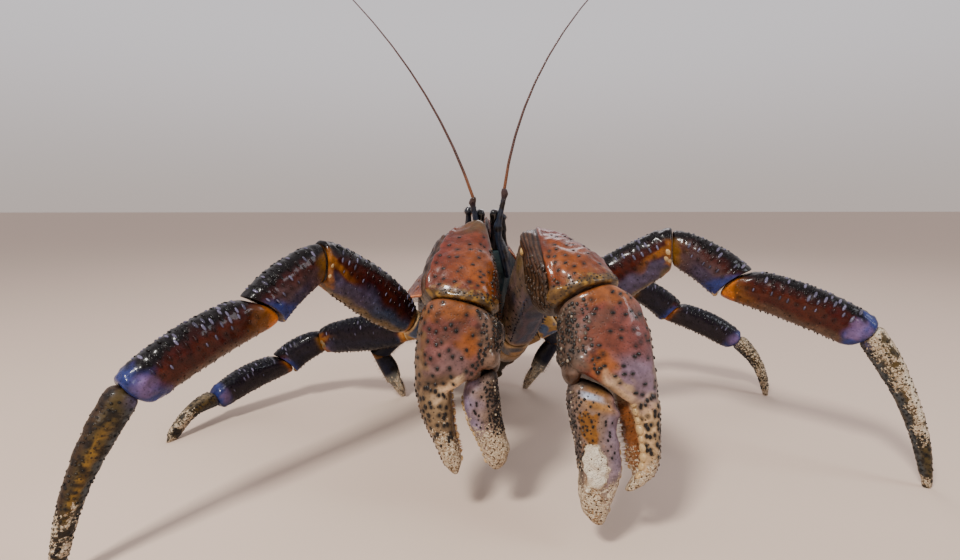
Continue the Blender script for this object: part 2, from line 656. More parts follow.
def carpus_paint(name):
    """Colours of the wrist piece: pink ridged top, orange-red middle, amber inside, khaki rims."""
    seed = WRIST_SEED[name]

    def paint(place, turn, points):
        blotch = mottle(points, 0.016, seed)
        fine = mottle(points, 0.005, seed + 1)
        mustard = ramp(mottle(points, 0.0034, seed + 2), -0.2, 0.9) * ramp(place + fine * 0.02, 0.8, 0.92)
        if name == "claw_r":
            root = [(KHAKI, ramp(place + 0.03 * fine, 0.34, 0.16) * about(turn, 112, 56))]
        else:
            root = [(tone(44, 40, 28), about(turn, 138, 30) * ramp(place, 0.2, 0.1)),
                    (KHAKI, ramp(place + 0.03 * fine, 0.14, 0.06) * about(turn, 80, 50))]
        lines = ramp(cross_lines(place, turn, points), -0.2, -0.9)
        lines = lines * ramp(place, 0.66, 0.3) * about(turn, 70, 80)
        past, flank = past_fold(name, place, turn)
        stripe = np.sin(past * 0.62 + 1.2 * blotch) * flank
        tint = layered(
            place, ORANGE,
            (SCARLET, ramp(blotch, 0.0, 1.2) * 0.55),
            (PINK, about(turn, 66, 58) * ramp(place, 0.62, 0.25) * 0.7),
            (AMBER, about(turn, 122, 62) * ramp(place, 0.2, 0.6) * ramp(blotch, -1.6, 0.0)),
            (KHAKI, ramp(np.abs((turn - 84 + 180) % 360 - 180), 72, 100)),
            (KHAKI * 0.8, ramp(place + fine * 0.015, 0.86, 0.94)),
            (tone(150, 116, 50), mustard * 0.75),
            *root,
            (SLATE, ramp(np.sin(np.radians(turn)), 0.0, -0.5) * 0.7),
            (tone(60, 22, 18), lines * 0.5),
            (tone(52, 37, 28), flank * 0.85),
            (tone(24, 16, 12), ramp(stripe, 0.2, 0.9) * 0.8),
            (tone(96, 72, 56), ramp(stripe, -0.3, -0.9) * 0.5),
            (DARK, ramp(np.abs(past - 4), 4, 1) * ramp(place, 0.97, 0.9) * 0.7),
            (tone(112, 86, 48), ramp(condyle(place, turn) + 0.5 * fine, 1.0, 0.3) * 0.7),
        )
        return tint * (1 + 0.14 * fine[..., None]) * WRIST_CAST, 0.3 * ramp(place, 0.8, 0.9) + 0.12, 0.0

    return paint


def carpus_relief(name):
    """The fine ridges across the top of a wrist piece, its fold, its striped flank and its corners."""

    def relief(place, turn, points):
        ridges = about(turn, 70, 80) * ramp(place, 0.66, 0.3) * 0.00014 * cross_lines(place, turn, points)
        low = mottle(points, 0.0045, 6) * 0.0002 + mottle(points, 0.012, 7) * 0.0003
        past, flank = past_fold(name, place, turn)
        held = ramp(place, 0.0, 0.12) * ramp(place, 1.0, 0.85)
        crest = (ramp(np.abs(past + 4), 9, 1) * 0.0009 - ramp(np.abs(past - 5), 7, 1) * 0.0007) * held
        folds = np.sin(past * 0.62 + 1.2 * mottle(points, 0.016, 21)) * flank * held * 0.00022
        if name == "claw_l":
            corner = 0.0034 * about(turn, 140, 36) * ramp(place, 0.4, 0.08)
        else:
            corner = 0.0027 * about(turn, 32, 55) * ramp(place, 0.0, 0.25)
            corner = corner + 0.0045 * about(turn, 118, 46) * ramp(place, 0.4, 0.1)
        return ridges + low + crest + folds + corner + 0.0017 * ramp(condyle(place, turn), 1.0, 0.1)

    return relief


for name, (tubes, _) in ARM_TUBES.items():
    left = name == "claw_l"
    node = "claw_carpus_" + name[-1]
    carpus, relief = tubes["carpus"], carpus_relief(name)
    item = shell(node, carpus, carpus_paint(name), claw_shell, 0.0008, relief, (0.0024, 0.0016), joint=SKIN)
    place, turn = rows_of(range(22, 170, 13), (0.25, 0.88), 6, 25 + left, (5, 0.4), 0.85)
    on_top = past_fold(name, place, turn)[0] < -8
    place, turn = place[on_top], turn[on_top]
    feet = carpus.frames(place, turn, relief)
    stained(item, feet[0], DARK, 0.0024, 0.65)
    set_on(item, KNOB, feet, (0.0008, 0.0013, 0.0004), DARK, 26, 0.4)
    rows = (range(-30, 205, 7), (0.9, 0.965), 2, 27, (2, 0.2))
    studded(item, carpus, rows, KNOB, (0.0006, 0.0007, 0.0004), DARK, 28)
    rows = ((-16, -4, 8, 160, 172, 184, 196) if left else (150, 162, 174, 186), (0.3, 0.88), 13, 29)
    studded(item, carpus, rows, KNOB, (0.0009, 0.0012, 0.0006),
            lambda count: shaded(tone(60, 46, 36), count, 30, 0.1, 1.8), 31, lift=0.0003)
    knuckle = carpus.frames(np.array((0.12,)), 163.0, -0.0006)
    set_on(item, KNOB, knuckle, (0.003, 0.0034, 0.0024), tone(190, 154, 96), 32, 0.0)
    handed(item, node)

# Palms. The swollen part of each claw is one shell with its fixed finger, which has blunt teeth and
# amber bristles along its biting side. It is orange-red over mauve and khaki, with knuckle lobes
# beside the hinge, dark flat knobs and rows of small beads. Reaches are from the wrist.
PALM_REACH = {"claw_r": 0.0415, "claw_l": 0.0538}
SHOULDER_SLANT = {"claw_r": math.radians(28), "claw_l": math.radians(10)}
PALM_KEYS = {
    "claw_r": ((0.0, 0.0175, 0.0155), (0.18, 0.0235, 0.0172), (0.5, 0.0254, 0.0184, 0.0023),
               (0.85, 0.0246, 0.0172, 0.005), (1.0, 0.0222, 0.0155, 0.004)),
    "claw_l": ((0.0, 0.0155, 0.0155), (0.22, 0.0224, 0.0174, 0.0066), (0.46, 0.025, 0.0188, 0.0086),
               (0.73, 0.0258, 0.019, 0.009), (0.92, 0.025, 0.0176, 0.0104), (1.0, 0.024, 0.016, 0.0104)),
}
THUMB_SPAN = {"claw_r": (0.03, 0.0932), "claw_l": (0.043, 0.102)}
THUMB_KEYS = {
    "claw_r": ((0.0, 0.0085, 0.0095, 0.018), (0.22, 0.0098, 0.0112, 0.0192), (0.42, 0.0092, 0.0104, 0.0184),
               (0.56, 0.0078, 0.009, 0.017), (0.69, 0.0067, 0.008, 0.0149), (0.86, 0.0055, 0.006, 0.0126),
               (1.0, 0.0015, 0.002, 0.0112)),
    "claw_l": ((0.0, 0.0085, 0.01, 0.024), (0.22, 0.0082, 0.0118, 0.0276), (0.47, 0.0064, 0.01, 0.029),
               (0.68, 0.0054, 0.009, 0.0292), (0.85, 0.0052, 0.0072, 0.0262), (0.94, 0.0042, 0.005, 0.0215),
               (1.0, 0.0018, 0.0025, 0.017)),
}
# Knuckle lobes: where each lies along, outward and forward, and its half sizes the same way
KNUCKLES = {
    "claw_r": ((0.027, -0.0125, 0.006, 0.0075, 0.0072, 0.01), (0.0345, -0.0025, 0.0085, 0.005, 0.006, 0.0065),
               (0.03, -0.015, -0.003, 0.009, 0.0055, 0.008)),
    "claw_l": ((0.0335, -0.0045, 0.0115, 0.007, 0.0085, 0.0068), (0.0385, -0.0105, 0.002, 0.008, 0.005, 0.01),
               (0.0405, 0.0052, 0.0115, 0.0055, 0.0032, 0.0045)),
}
# Line of the palm over the hinged finger: reach from the wrist, slope outward, and where it levels
HINGE_LINE = {"claw_r": (0.038, 0.577, -0.008), "claw_l": (0.0443, 0.67, -0.006)}
MAUVE = tone(112, 82, 84)
LAVENDER = tone(120, 106, 130)
TAN = tone(112, 90, 64)
# Edges are how far outward a palm's inner and outer edge lie. Low is where its mauve part begins, as
# parts of the reach and outward, and spot is the middle of its amber patch, the same way.
PALM_LOOKS = {
    "claw_r": dict(
        seed=30, edges=(-0.01, 0.018), low=(0.34, 0.72), low_out=(-0.01, 0.004), spot=(0.42, -0.004),
        grey=0.38, violet=0.0, khaki=KHAKI * 1.15, khaki_mask=0.75, khaki_rim=(0.0, 0.007), khaki_end=1.0,
        bite=0.0, inner_tint=tone(112, 88, 72), finger_tint=TAN * 1.15, web=0.0038,
        web_tint=CREAM + LAVENDER * 0.25, shadow=0.2, sand=(0.062, 0.08),
    ),
    "claw_l": dict(
        seed=40, edges=(-0.008, 0.026), low=(0.5, 0.85), low_out=(-0.004, 0.01), spot=(0.68, 0.003),
        grey=0.3, violet=0.55, khaki=KHAKI, khaki_mask=0.7, khaki_rim=(0.003, 0.008), khaki_end=0.0, bite=0.9,
        inner_tint=tone(84, 68, 58), finger_tint=TAN * 2.6, web=0.0062,
        web_tint=CREAM * 0.8 + LAVENDER * 0.25, shadow=0.0, sand=(0.078, 0.094),
    ),
}
TOOTH = small_shape("tooth", 12, dome(6, 0.6))
BRISTLE = small_shape("bristle", 4, ((-0.1, 1.0), (0.35, 0.85), (0.7, 0.55), (1.0, 0.12)), 0.35)


def claw_frame(name):
    """The wrist joint of a claw, and the claw's ways along, outward and forward."""
    wrist, axis, _ = ARM_TUBES[name][1]
    outward = outward_of(name[-1])
    sideways = unit(outward - axis * (outward @ axis))
    return wrist, axis, sideways, np.cross(axis, sideways) * (1 if name == "claw_l" else -1)


CLAW_FRAMES = {name: claw_frame(name) for name in ARMS}


def claw_place(name, points):
    """How far along, outward and forward some points lie in a claw's own frame."""
    wrist, axis, sideways, front = CLAW_FRAMES[name]
    from_wrist = points - wrist
    return from_wrist @ axis, from_wrist @ sideways, from_wrist @ front


def shoulder_face(name):
    """The face normal of the slanting end of a palm, which the hinged finger turns on."""
    _, axis, sideways, _ = CLAW_FRAMES[name]
    return axis * math.cos(SHOULDER_SLANT[name]) - sideways * math.sin(SHOULDER_SLANT[name])


def palm_tubes(name):
    """The tubes of a palm and of its fixed finger."""
    wrist, axis, sideways, _ = CLAW_FRAMES[name]
    cuts = (ARM_TUBES[name][1][2], shoulder_face(name))
    end = wrist + axis * PALM_REACH[name]
    near, far = [wrist + axis * reach for reach in THUMB_SPAN[name]]
    return (Tube(wrist, end, cuts, sideways, FRONT, PALM_KEYS[name], power=CLAW_POWER),
            Tube(near, far, (axis, axis), sideways, FRONT, THUMB_KEYS[name]))


def hinge_line(name, out):
    """How far from the wrist the palm ends over the hinged finger, at some places across it."""
    reach, slope, level = HINGE_LINE[name]
    return reach + slope * np.maximum(out, level)


def trimmed(name, points):
    """Palm points drawn back to the line over the hinged finger, and thinned towards the fixed one."""
    along, out, ahead = claw_place(name, points)
    _, axis, _, front = CLAW_FRAMES[name]
    whole = PALM_REACH[name] + math.tan(SHOULDER_SLANT[name]) * out
    cut = np.clip(whole - hinge_line(name, out), 0, 0.014) * ramp(along / whole, 0.3, 1.0) ** 2
    thin = 0.36 * ramp(along / PALM_REACH[name], 0.72, 1.1) * ramp(out, 0.004, 0.014)
    thin = thin * ramp(ahead, 0.0, 0.004)
    return points - axis * cut[..., None] - front * (thin * ahead)[..., None]


def finger_relief(place, turn, points):
    """Low lumps and scoops on a finger."""
    return mottle(points, 0.006, 8) * 0.00024 + mottle(points, 0.0028, 10) * 0.00008


def thumb_relief(place, turn, points):
    """The lumps of the larger fixed finger, with the broad hollow of its biting side behind its teeth."""
    bite = about(turn, 202, 60) * ramp(place, 0.05, 0.2) * ramp(place, 0.9, 0.7)
    return finger_relief(place, turn, points) + bite * 0.0052 - about(turn, 168, 22) * bite * 0.002


def lobe(centre, axes, radii):
    """The grid of a rounded lobe, with its three half sizes along three directions."""
    rise, turn = np.meshgrid(np.linspace(-1.55, 1.55, 30), np.radians(np.arange(0, 360, 9)), indexing="ij")
    ways = (np.sin(rise), np.cos(rise) * np.cos(turn), np.cos(rise) * np.sin(turn))
    parts = [way[..., None] * axis * radius for way, axis, radius in zip(ways, axes, radii)]
    return centre + parts[0] + parts[1] + parts[2]


def palm_grids(name, palm, thumb):
    """The palm, its fixed finger and the knuckle lobes beside the hinge, as grids to be melded."""
    wrist, axis, sideways, front = CLAW_FRAMES[name]
    relief = thumb_relief if name == "claw_l" else finger_relief
    grids = [trimmed(name, tube_grid(palm, 0.0009, swellings, (0.0034, 0.003))[2]),
             tube_grid(thumb, 0.0009, relief, (0.001, 0.001), True)[2]]
    for along, out, ahead, *radii in KNUCKLES[name]:
        centre = wrist + axis * along + sideways * out + front * ahead
        grids.append(lobe(centre, (axis, sideways, front), radii))
    return grids


def melded(node, grids, paint, material, voxel):
    """One closed skin round several grids that grow into each other, softened where they meet."""
    points, faces = [], []
    for grid in grids:
        offset = sum(len(part) for part in points)
        flat = grid.reshape(-1, 3)
        turned = outward_faces(flat, grid_faces(*grid.shape[:2]))
        faces += [[corner + offset for corner in face] for face in turned]
        points.append(flat)
    points = np.concatenate(points)
    item = laid_mesh(node, points, (np.zeros(points.shape), 0.0, 0.0), material, faces)
    remesh = item.modifiers.new("skin", "REMESH")
    remesh.mode = "VOXEL"
    remesh.voxel_size = voxel
    remesh.use_smooth_shade = True
    soft = item.modifiers.new("soften", "SMOOTH")
    soft.factor = 0.5
    soft.iterations = 5
    made = made_real(item)
    made.materials.clear()
    made.materials.append(material)
    for layer in [layer for layer in made.attributes if layer.name in ("tint", "speck", "sand")]:
        made.attributes.remove(layer)
    flat = np.empty(len(made.vertices) * 3)
    made.vertices.foreach_get("co", flat)
    painted(made, paint(flat.reshape(-1, 3) + BOX_MIDDLE))
    return item


def palm_paint(name):
    """Colours of a palm and its fixed finger, laid in the claw's own frame."""
    look = PALM_LOOKS[name]
    reach = PALM_REACH[name]
    inner, outer = look["edges"]
    spot_along, spot_out = reach * look["spot"][0], look["spot"][1]

    def paint(points):
        along, out, front = claw_place(name, points)
        blotch = mottle(points, 0.017, look["seed"])
        fine = mottle(points, 0.005, look["seed"] + 1)
        brown = mottle(points, 0.011, look["seed"] + 2)
        part = along / reach
        low = ramp(part + 0.1 * blotch, *look["low"]) * ramp(out, *look["low_out"])
        violet = ramp(part + 0.08 * blotch, 0.52, 0.78) * ramp(out, 0.004, 0.014) * look["violet"]
        spot = (along - spot_along) ** 2 / 0.008**2 + (out - spot_out) ** 2 / 0.008**2
        khaki_rim = ramp(out + fine * 0.002, *(outer + step for step in look["khaki_rim"]))
        khaki = np.maximum(khaki_rim, look["khaki_end"] * ramp(part + 0.08 * blotch, 0.7, 0.95))
        medial = ramp(out + fine * 0.0015, inner + 0.006, inner - 0.003)
        finger = ramp(along + fine * 0.002, reach * 0.9, reach * 1.2) * ramp(out, 0.0, 0.006)
        past = along - hinge_line(name, out)
        web = ramp(np.abs(past + 0.002) / look["web"] + 0.4 * fine, 1.6, 0.3)
        bite = ramp(along, 0.054, 0.059) * ramp(front, 0.0055, 0.0035) * ramp(out, 0.0262, 0.0235)
        tint = layered(
            along, ORANGE,
            (SCARLET, ramp(blotch, -0.3, 1.0) * 0.8),
            (PINK, ramp(out, 0.0, outer) * ramp(blotch, -1.8, 0.0) * 0.9),
            (tone(84, 54, 40), ramp(brown, 0.2, 1.4) * 0.6),
            (MAUVE, low * 0.9),
            (tone(88, 66, 58), look["grey"]),
            (LAVENDER, violet),
            (AMBER, ramp(spot + fine * 0.3, 1.7, 0.0) * 0.9),
            (tone(128, 72, 30), ramp(part + 0.03 * fine, 0.14, 0.02) * 0.8),
            (look["khaki"], khaki * look["khaki_mask"]),
            (look["inner_tint"], medial * 0.9),
            (look["finger_tint"], finger),
            (look["web_tint"], web * ramp(out, 0.0, 0.005) * ramp(out, 0.024, 0.016)),
            (tone(56, 34, 20), ramp(past, -0.001, 0.0012) * ramp(out, 0.014, 0.008)),
            (tone(112, 58, 20), bite * look["bite"]),
            (tone(92, 68, 42), finger * ramp(out, outer + 0.003, outer + 0.01) * 0.8),
            (tone(92, 74, 62), ramp(front, -0.002, -0.01) * 0.85),
        )
        shadow = 1 - look["shadow"] * ramp(part, 0.45, 0.25)
        sand = ramp(along + 0.005 * blotch, *look["sand"]) * 0.85
        tint = tint * (1 + 0.16 * fine[:, None]) * shadow[:, None]
        tint = layered(along, tint, (tone(150, 124, 92), sand * 0.6))
        return tint, 0.12 + 0.25 * medial + 0.4 * finger, sand

    return paint


def beaded(count, seed, dark_share, pale_share, *tints):
    """A dark, middle or pale tint for each bead of a claw's edge, by chance."""
    chance = np.random.default_rng(seed).random((count, 1))
    dark, middle, pale = [tone(*tint) for tint in tints]
    return np.where(chance < dark_share, dark, np.where(chance < 1 - pale_share, middle, pale))


def toothed(item, tube, places, turn, size, tint, seed, spread=0.4, lift=0.0):
    """Sets one row of blunt teeth along a finger."""
    set_on(item, TOOTH, tube.frames(places, turn, lift), size, tint, seed, spread)


for name in ARMS:
    left = name == "claw_l"
    node = "claw_palm_" + name[-1]
    palm, thumb = palm_tubes(name)
    item = melded(node, palm_grids(name, palm, thumb), palm_paint(name), claw_shell, 0.0006)
    back = {"moved": lambda points: trimmed(name, points)}
    size = (0.0008, 0.0015, 0.0004) if left else (0.0013, 0.001, 0.0005)
    rows = (range(24, 118, 12), (0.06, 0.94), 8, 33 + left, (5, 0.4), 0.8)
    studded(item, palm, rows, KNOB, size, DARK, 34, 0.4, (DARK, 0.0027, 0.6), **back)
    rows = ((-28, -14, 0, 14), (0.08, 0.98), 11, 35, (5, 0.35), 0.85)
    studded(item, palm, rows, KNOB, (0.0013, 0.001, 0.0008), DARK, 36, 0.3, (DARK, 0.0022, 0.7), **back)
    rows = ((*range(112, 140, 9), *range(140, 222, 7)), (0.07, 0.95), 16, 37, (3, 0.3), 0.92)
    studded(item, palm, rows, KNOB, (0.0013, 0.001, 0.0007),
            lambda count: beaded(count, 38, 0.78, 0.04, (22, 16, 13), (86, 72, 60), (136, 124, 108)),
            39, 0.5, (DARK, 0.0016, 0.6), **back)
    rows = ((36, 58, 80, 102, 124), (0.12, 0.7), 8, 41, (8, 0.4), 0.85)
    studded(item, thumb, rows, KNOB, (0.0016, 0.0011, 0.0004), DARK, 42, 0.4, (DARK, 0.0025, 0.75))
    rows = ((-34, -20, -6, 8, 22), (0.06, 0.9), 17, 43, (3, 0.3))
    studded(item, thumb, rows, KNOB, (0.0009, 0.0008, 0.0007),
            lambda count: shaded(tone(70, 46, 26), count, 44, 0.2, 1.6), 44, 0.3, (DARK, 0.0014, 0.5))
    size = (0.003, 0.0024, 0.0019) if left else (0.0022, 0.002, 0.0014)
    places = np.linspace(0.22, 0.86, 9 if left else 10)
    toothed(item, thumb, places, 146.0 if left else 178.0, size, CREAM * 0.9, 45)
    rows = ((165, 176, 187, 198, 209), (0.2, 0.8), 22, 46, (5, 0.4))
    size = (0.0002, 0.0002, 0.0036 if left else 0.0022)
    lift = thumb_relief if left else 0.0
    studded(item, thumb, rows, BRISTLE, size, tone(128, 66, 22), 47, 0.5, lift=lift)
    if left:
        size = (0.0017, 0.0016, 0.0012)
        toothed(item, thumb, np.linspace(0.3, 0.8, 10), 206.0, size, CREAM * 0.8, 48, 0.4, thumb_relief)
    handed(item, node)

# Hinged fingers. Each is one curved pointed shell that turns on the slanting end of its palm: lavender
# and cream outside, with a beaded dark margin, small teeth and a sandy tip. Wet sand has dried in a
# clot on the larger one.
HINGE = {"claw_r": (0.0415, -0.0075), "claw_l": (0.0538, 0.0)}
FINGER_TIP = {"claw_r": (0.0932, -0.0121), "claw_l": (0.1183, 0.0003)}
FINGER_KEYS = {
    "claw_r": ((0.0, 0.0092, 0.0095), (0.22, 0.0106, 0.01, 0.0016), (0.47, 0.0094, 0.009, 0.0013),
               (0.6, 0.0086, 0.008), (0.79, 0.008, 0.0068, -0.0017), (0.92, 0.0056, 0.0048, -0.0012),
               (1.0, 0.0016, 0.0016)),
    "claw_l": ((0.0, 0.0125, 0.012), (0.06, 0.0134, 0.013, 0.0005), (0.21, 0.0116, 0.0118),
               (0.37, 0.0114, 0.0106, 0.0016), (0.56, 0.0111, 0.0096, 0.002), (0.73, 0.0095, 0.0082),
               (0.86, 0.0072, 0.006, -0.0013), (0.95, 0.0045, 0.004, -0.0008), (1.0, 0.0018, 0.0018)),
}
# The finger's own root is this much of the line's slope, and this much of its first key's size
ROOT_SLOPE = 0.6
ROOT_SIZE = 0.86
finger_shell = shell_finish("finger_tan_shell", 0.45, 0.12)


def hinged_finger(name):
    """The tube of a hinged finger, grown from its hinge up to the slanting line of the palm."""
    wrist, axis, sideways, _ = CLAW_FRAMES[name]
    reach, across = HINGE[name]
    hinge = wrist + axis * reach + sideways * across
    hinge = hinge + axis * (math.tan(SHOULDER_SLANT[name]) * across)
    tip = wrist + axis * FINGER_TIP[name][0] + sideways * FINGER_TIP[name][1]
    tube = Tube(hinge, tip, (shoulder_face(name), axis), sideways, FRONT, FINGER_KEYS[name], power=CLAW_POWER)
    line, slope, _ = HINGE_LINE[name]
    slope = slope * ROOT_SLOPE
    start = wrist + axis * (line + slope * across) + sideways * across
    more = np.linalg.norm(tube.end - start) - tube.length
    keys = [((key[0] * tube.length + more) / (tube.length + more), *key[1:]) for key in tube.keys]
    root = (0, keys[0][1] * ROOT_SIZE, keys[0][2] * ROOT_SIZE, *keys[0][3:])
    cuts = (axis - sideways * slope, axis)
    return Tube(start, tube.end, cuts, sideways, FRONT, (root, *keys), power=CLAW_POWER)


def sand_clump(place, turn, points):
    """Where the clot of dry sand clings to the larger hinged finger."""
    away = ((place - 0.6) / 0.17) ** 2 + (((turn - 112 + 180) % 360 - 180) / 32) ** 2
    return ramp(away + 0.25 * mottle(points, 0.005, 62), 1.1, 0.6)


def sandy_finger_relief(place, turn, points):
    """The lumps of the larger finger, with its clot of sand standing proud."""
    clot = sand_clump(place, turn, points) * (0.0019 + 0.0007 * mottle(points, 0.0034, 63))
    return finger_relief(place, turn, points) + clot


def finger_paint(name):
    """Colours of a hinged finger: lavender inside, beaded dark margin, sandy tip."""
    left = name == "claw_l"
    seed = 60 if left else 50
    sand_span = (0.56, 0.86) if left else (0.4, 0.66)

    def paint(place, turn, points):
        blotch = mottle(points, 0.01, seed)
        fine = mottle(points, 0.004, seed + 1)
        if left:
            strip = about(turn + 8 * fine, 116, 34) * ramp(place + 0.02 * fine, 0.2, 0.26)
            own = [(tone(112, 70, 20), ramp(strip, 0.15, 0.6)),
                   (tone(70, 60, 58), about(turn, 170, 34)),
                   (tone(134, 92, 44), ramp(place, 0.24, 0.17) * about(turn, 84, 70)),
                   (tone(150, 158, 176), ramp(np.abs(place - 0.115), 0.035, 0.01) * about(turn, 104, 42))]
            clump = sand_clump(place, turn, points)
        else:
            own = [(tone(70, 60, 54), about(turn + 8 * fine, 150, 52))]
            clump = np.zeros(place.shape)
        tint = layered(
            place, tone(114, 92, 80),
            (LAVENDER, about(turn + 12 * blotch, 36, 58) * (0.6 if left else 0.9)),
            (tone(170, 140, 104), about(turn + 10 * fine, 350, 36) * 0.8),
            *own,
            (DARK, ramp(place, 0.09 if left else 0.05, 0.03)),
            (tone(80, 72, 70), about(turn, 270, 80) * 0.8),
        )
        sand = np.maximum(ramp(place + 0.05 * blotch, *sand_span) * 0.85, 1.5 * clump)
        dusty = ((tone(156, 132, 100), np.clip(sand, 0, 1) * 0.6), (tone(190, 176, 150), clump))
        tint = layered(place, tint * (1 + 0.14 * fine[..., None]), *dusty)
        return tint, 0.5 * about(turn, 120, 70) + 0.1, np.clip(sand, 0, 1.5)

    return paint


for name in ARMS:
    left = name == "claw_l"
    node = "claw_dactyl_" + name[-1]
    finger = hinged_finger(name)
    relief = sandy_finger_relief if left else finger_relief
    item = shell(node, finger, finger_paint(name), finger_shell, 0.0007, relief, (0.0062, 0.0012), True, DARK)
    rows = (range(128 if left else 104, 204, 11), (0.1, 0.62), 17, 47, (4, 0.3))
    studded(item, finger, rows, KNOB, (0.0009, 0.0008, 0.0006),
            lambda count: beaded(count, 48, 0.7, 0.08, (24, 17, 14), (92, 74, 58), (160, 142, 120)),
            49, 0.3, (DARK, 0.0013, 0.5))
    toothed(item, finger, np.linspace(0.2, 0.9, 13), 0.0, (0.0018, 0.0017, 0.0012), CREAM * 0.85, 50, 0.5)
    rows = ((64, 84, 104, 118), (0.12, 0.56), 9, 51, (8, 0.4), 0.7)
    studded(item, finger, rows, KNOB, (0.001, 0.0007, 0.0004), DARK, 52, 0.3, (DARK, 0.0014, 0.6))
    handed(item, node)

# Walking legs. Two pairs of long legs carry the crab, each of five shell pieces: a short base, a
# long flat thigh, a knee piece, a shank and a pointed foot, with cross rows of dark scale-like
# knobs on top and bright blue, violet and orange underneath and at the joints.
LEGS = {
    "leg2_r": dict(
        root=(-0.045, -0.003, 0.082), stub=(20, 20), last=(46.0, -66.0), size=1.0, seed=100,
        rows=((0.018, 44.5, 33.8), (0.0915, 44.5, 33.8), (0.0494, 46.0, -31.7), (0.0805, 46.0, -23.4)),
    ),
    "leg2_l": dict(
        root=(0.045, -0.003, 0.082), stub=(8, 20), last=(34.6, -67.5), size=1.04, seed=200,
        rows=((0.018, 15.5, 33.4), (0.1031, 15.5, 33.4), (0.0497, 31.6, -29.6), (0.0864, 33.3, -19.1)),
    ),
    "leg3_r": dict(
        root=(-0.047, 0.033, 0.075), stub=(-14, -2), last=(64.0, -23.0), size=0.86, seed=300,
        rows=((0.015, -24.4, -10.4), (0.0879, -24.4, -10.4), (0.041, 4.1, -29.8), (0.066, 44.5, -15.4)),
    ),
    "leg3_l": dict(
        root=(0.048, 0.033, 0.075), stub=(-14, 8), last=(33.0, -59.6), size=0.86, seed=400,
        rows=((0.015, -22.6, 14.4), (0.0977, -22.6, 14.4), (0.0525, -15.2, -29.6), (0.0676, 13.3, -24.1)),
    ),
}
LEG_KEYS = {
    "ischium": ((0, 0.008, 0.0095), (1, 0.0085, 0.0103)),
    "merus": ((0.0, 0.0078, 0.0095), (0.12, 0.0095, 0.015), (0.45, 0.0108, 0.0182), (0.85, 0.0105, 0.0158),
              (1.0, 0.0112, 0.013, 0, -0.0006)),
    "carpus": ((0.0, 0.0088, 0.0105), (0.25, 0.0105, 0.0132), (0.8, 0.0118, 0.0148), (1.0, 0.012, 0.0146)),
    "propodus": ((0.0, 0.0095, 0.011), (0.12, 0.0104, 0.0132, 0, 0.0004), (0.5, 0.0104, 0.0136, 0, 0.0004),
                 (0.88, 0.0102, 0.0122), (1.0, 0.0104, 0.0106, 0, -0.0006)),
    "dactyl": ((0.0, 0.0072, 0.007, 0, 0.0016), (0.08, 0.0078, 0.0079, 0, 0.0018),
               (0.5, 0.0058, 0.0058, 0, 0.0016), (0.85, 0.0038, 0.0038, 0, 0.0006), (1.0, 0.0018, 0.0021)),
}
LEG_BOW = {"ischium": 0, "merus": 0.002, "carpus": 0.003, "propodus": 0.003, "dactyl": 0.006}
# The cut between knee piece and shank leans back down by this much
WRIST_DROP = math.radians(24)
# How far the joint rims bow back over the front of each piece, and how broad they are, at its two ends
JOINT_SAGS = {"merus": (0.0, 0.0), "carpus": (0.0, 0.003), "propodus": (0.003, -0.0016)}
JOINT_RIMS = {"merus": (0.0024, 0.0022), "carpus": (0.0026, 0.0008), "propodus": (0.0034, 0.0038)}
KNOB_SPAN = {"merus": (0.05, 0.9), "carpus": (0.16, 0.93), "propodus": (0.08, 0.86)}
SPINE_TURNS = {"merus": (268, 278), "carpus": (270,), "propodus": (268, 278)}
# Place and turn of each pale knuckle at the far joints
KNUCKLE_SPOTS = {
    "merus": ((0.97, 0.0), (0.958, -14.0), (0.978, -24.0), (0.965, 188.0)),
    "carpus": ((0.955, -62.0), (0.94, -56.0), (0.955, 242.0)),
}
NIGHT = tone(11, 6, 7)
MAROON = tone(51, 13, 9)
RUST = tone(62, 22, 9)
VIOLET = tone(66, 56, 76)
COBALT = tone(38, 46, 96)
STEEL = tone(50, 60, 84)
OLIVE = tone(74, 60, 30)
# Outer colour of each foot, its mustard streak, where its sand starts, and how caked its outer side is
FOOT_LOOKS = {
    "leg2_r": (tone(46, 28, 16), 1.0, 0.6, 0.0),
    "leg2_l": (tone(60, 50, 36), 0.3, 0.86, 1.0),
    "leg3_r": (tone(112, 96, 72), 0.3, 0.42, 0.0),
    "leg3_l": (tone(116, 100, 74), 0.2, 0.42, 0.4),
}
leg_red_shell = shell_finish("leg_maroon_shell", 0.3, 0.25, level=0.12)
leg_blue_shell = shell_finish("leg_navy_shell", 0.3, 0.15, level=0.1)
foot_shell = shell_finish("leg_olive_shell", 0.5, 0.08)


def leg_tubes(name, limb, keys, bows):
    """The tubes of one leg, from its base to the piece that the floor cuts flat."""
    ways, faces = bisected([limb["stub"], *[row[1:] for row in limb["rows"]], limb["last"]], name[-1])
    ways = ways[1:]
    if "ischium" in keys:
        level = np.array((*faces[3][:2], 0))
        climb = math.atan2(faces[3][2], np.linalg.norm(level)) - WRIST_DROP
        faces[3] = unit(level) * math.cos(climb) + np.array((0, 0, math.sin(climb)))
    faces.append(np.array((0, 0, -1.0)))
    joints = joints_of(limb, ways)
    joints.append(joints[-1] - ways[-1] * (joints[-1][2] / ways[-1][2]))
    tubes = {}
    for index, piece in enumerate(keys):
        across = np.cross(ways[index], UP)
        across = -across if across[1] > 0 else across
        ends, cuts = joints[index : index + 2], faces[index : index + 2]
        tubes[piece] = Tube(*ends, cuts, across, UP, keys[piece], limb["size"], bows[piece])
    tubes["dactyl"].end = joints[-1]
    tubes["dactyl"].length = np.linalg.norm(joints[-1] - tubes["dactyl"].start)
    return tubes


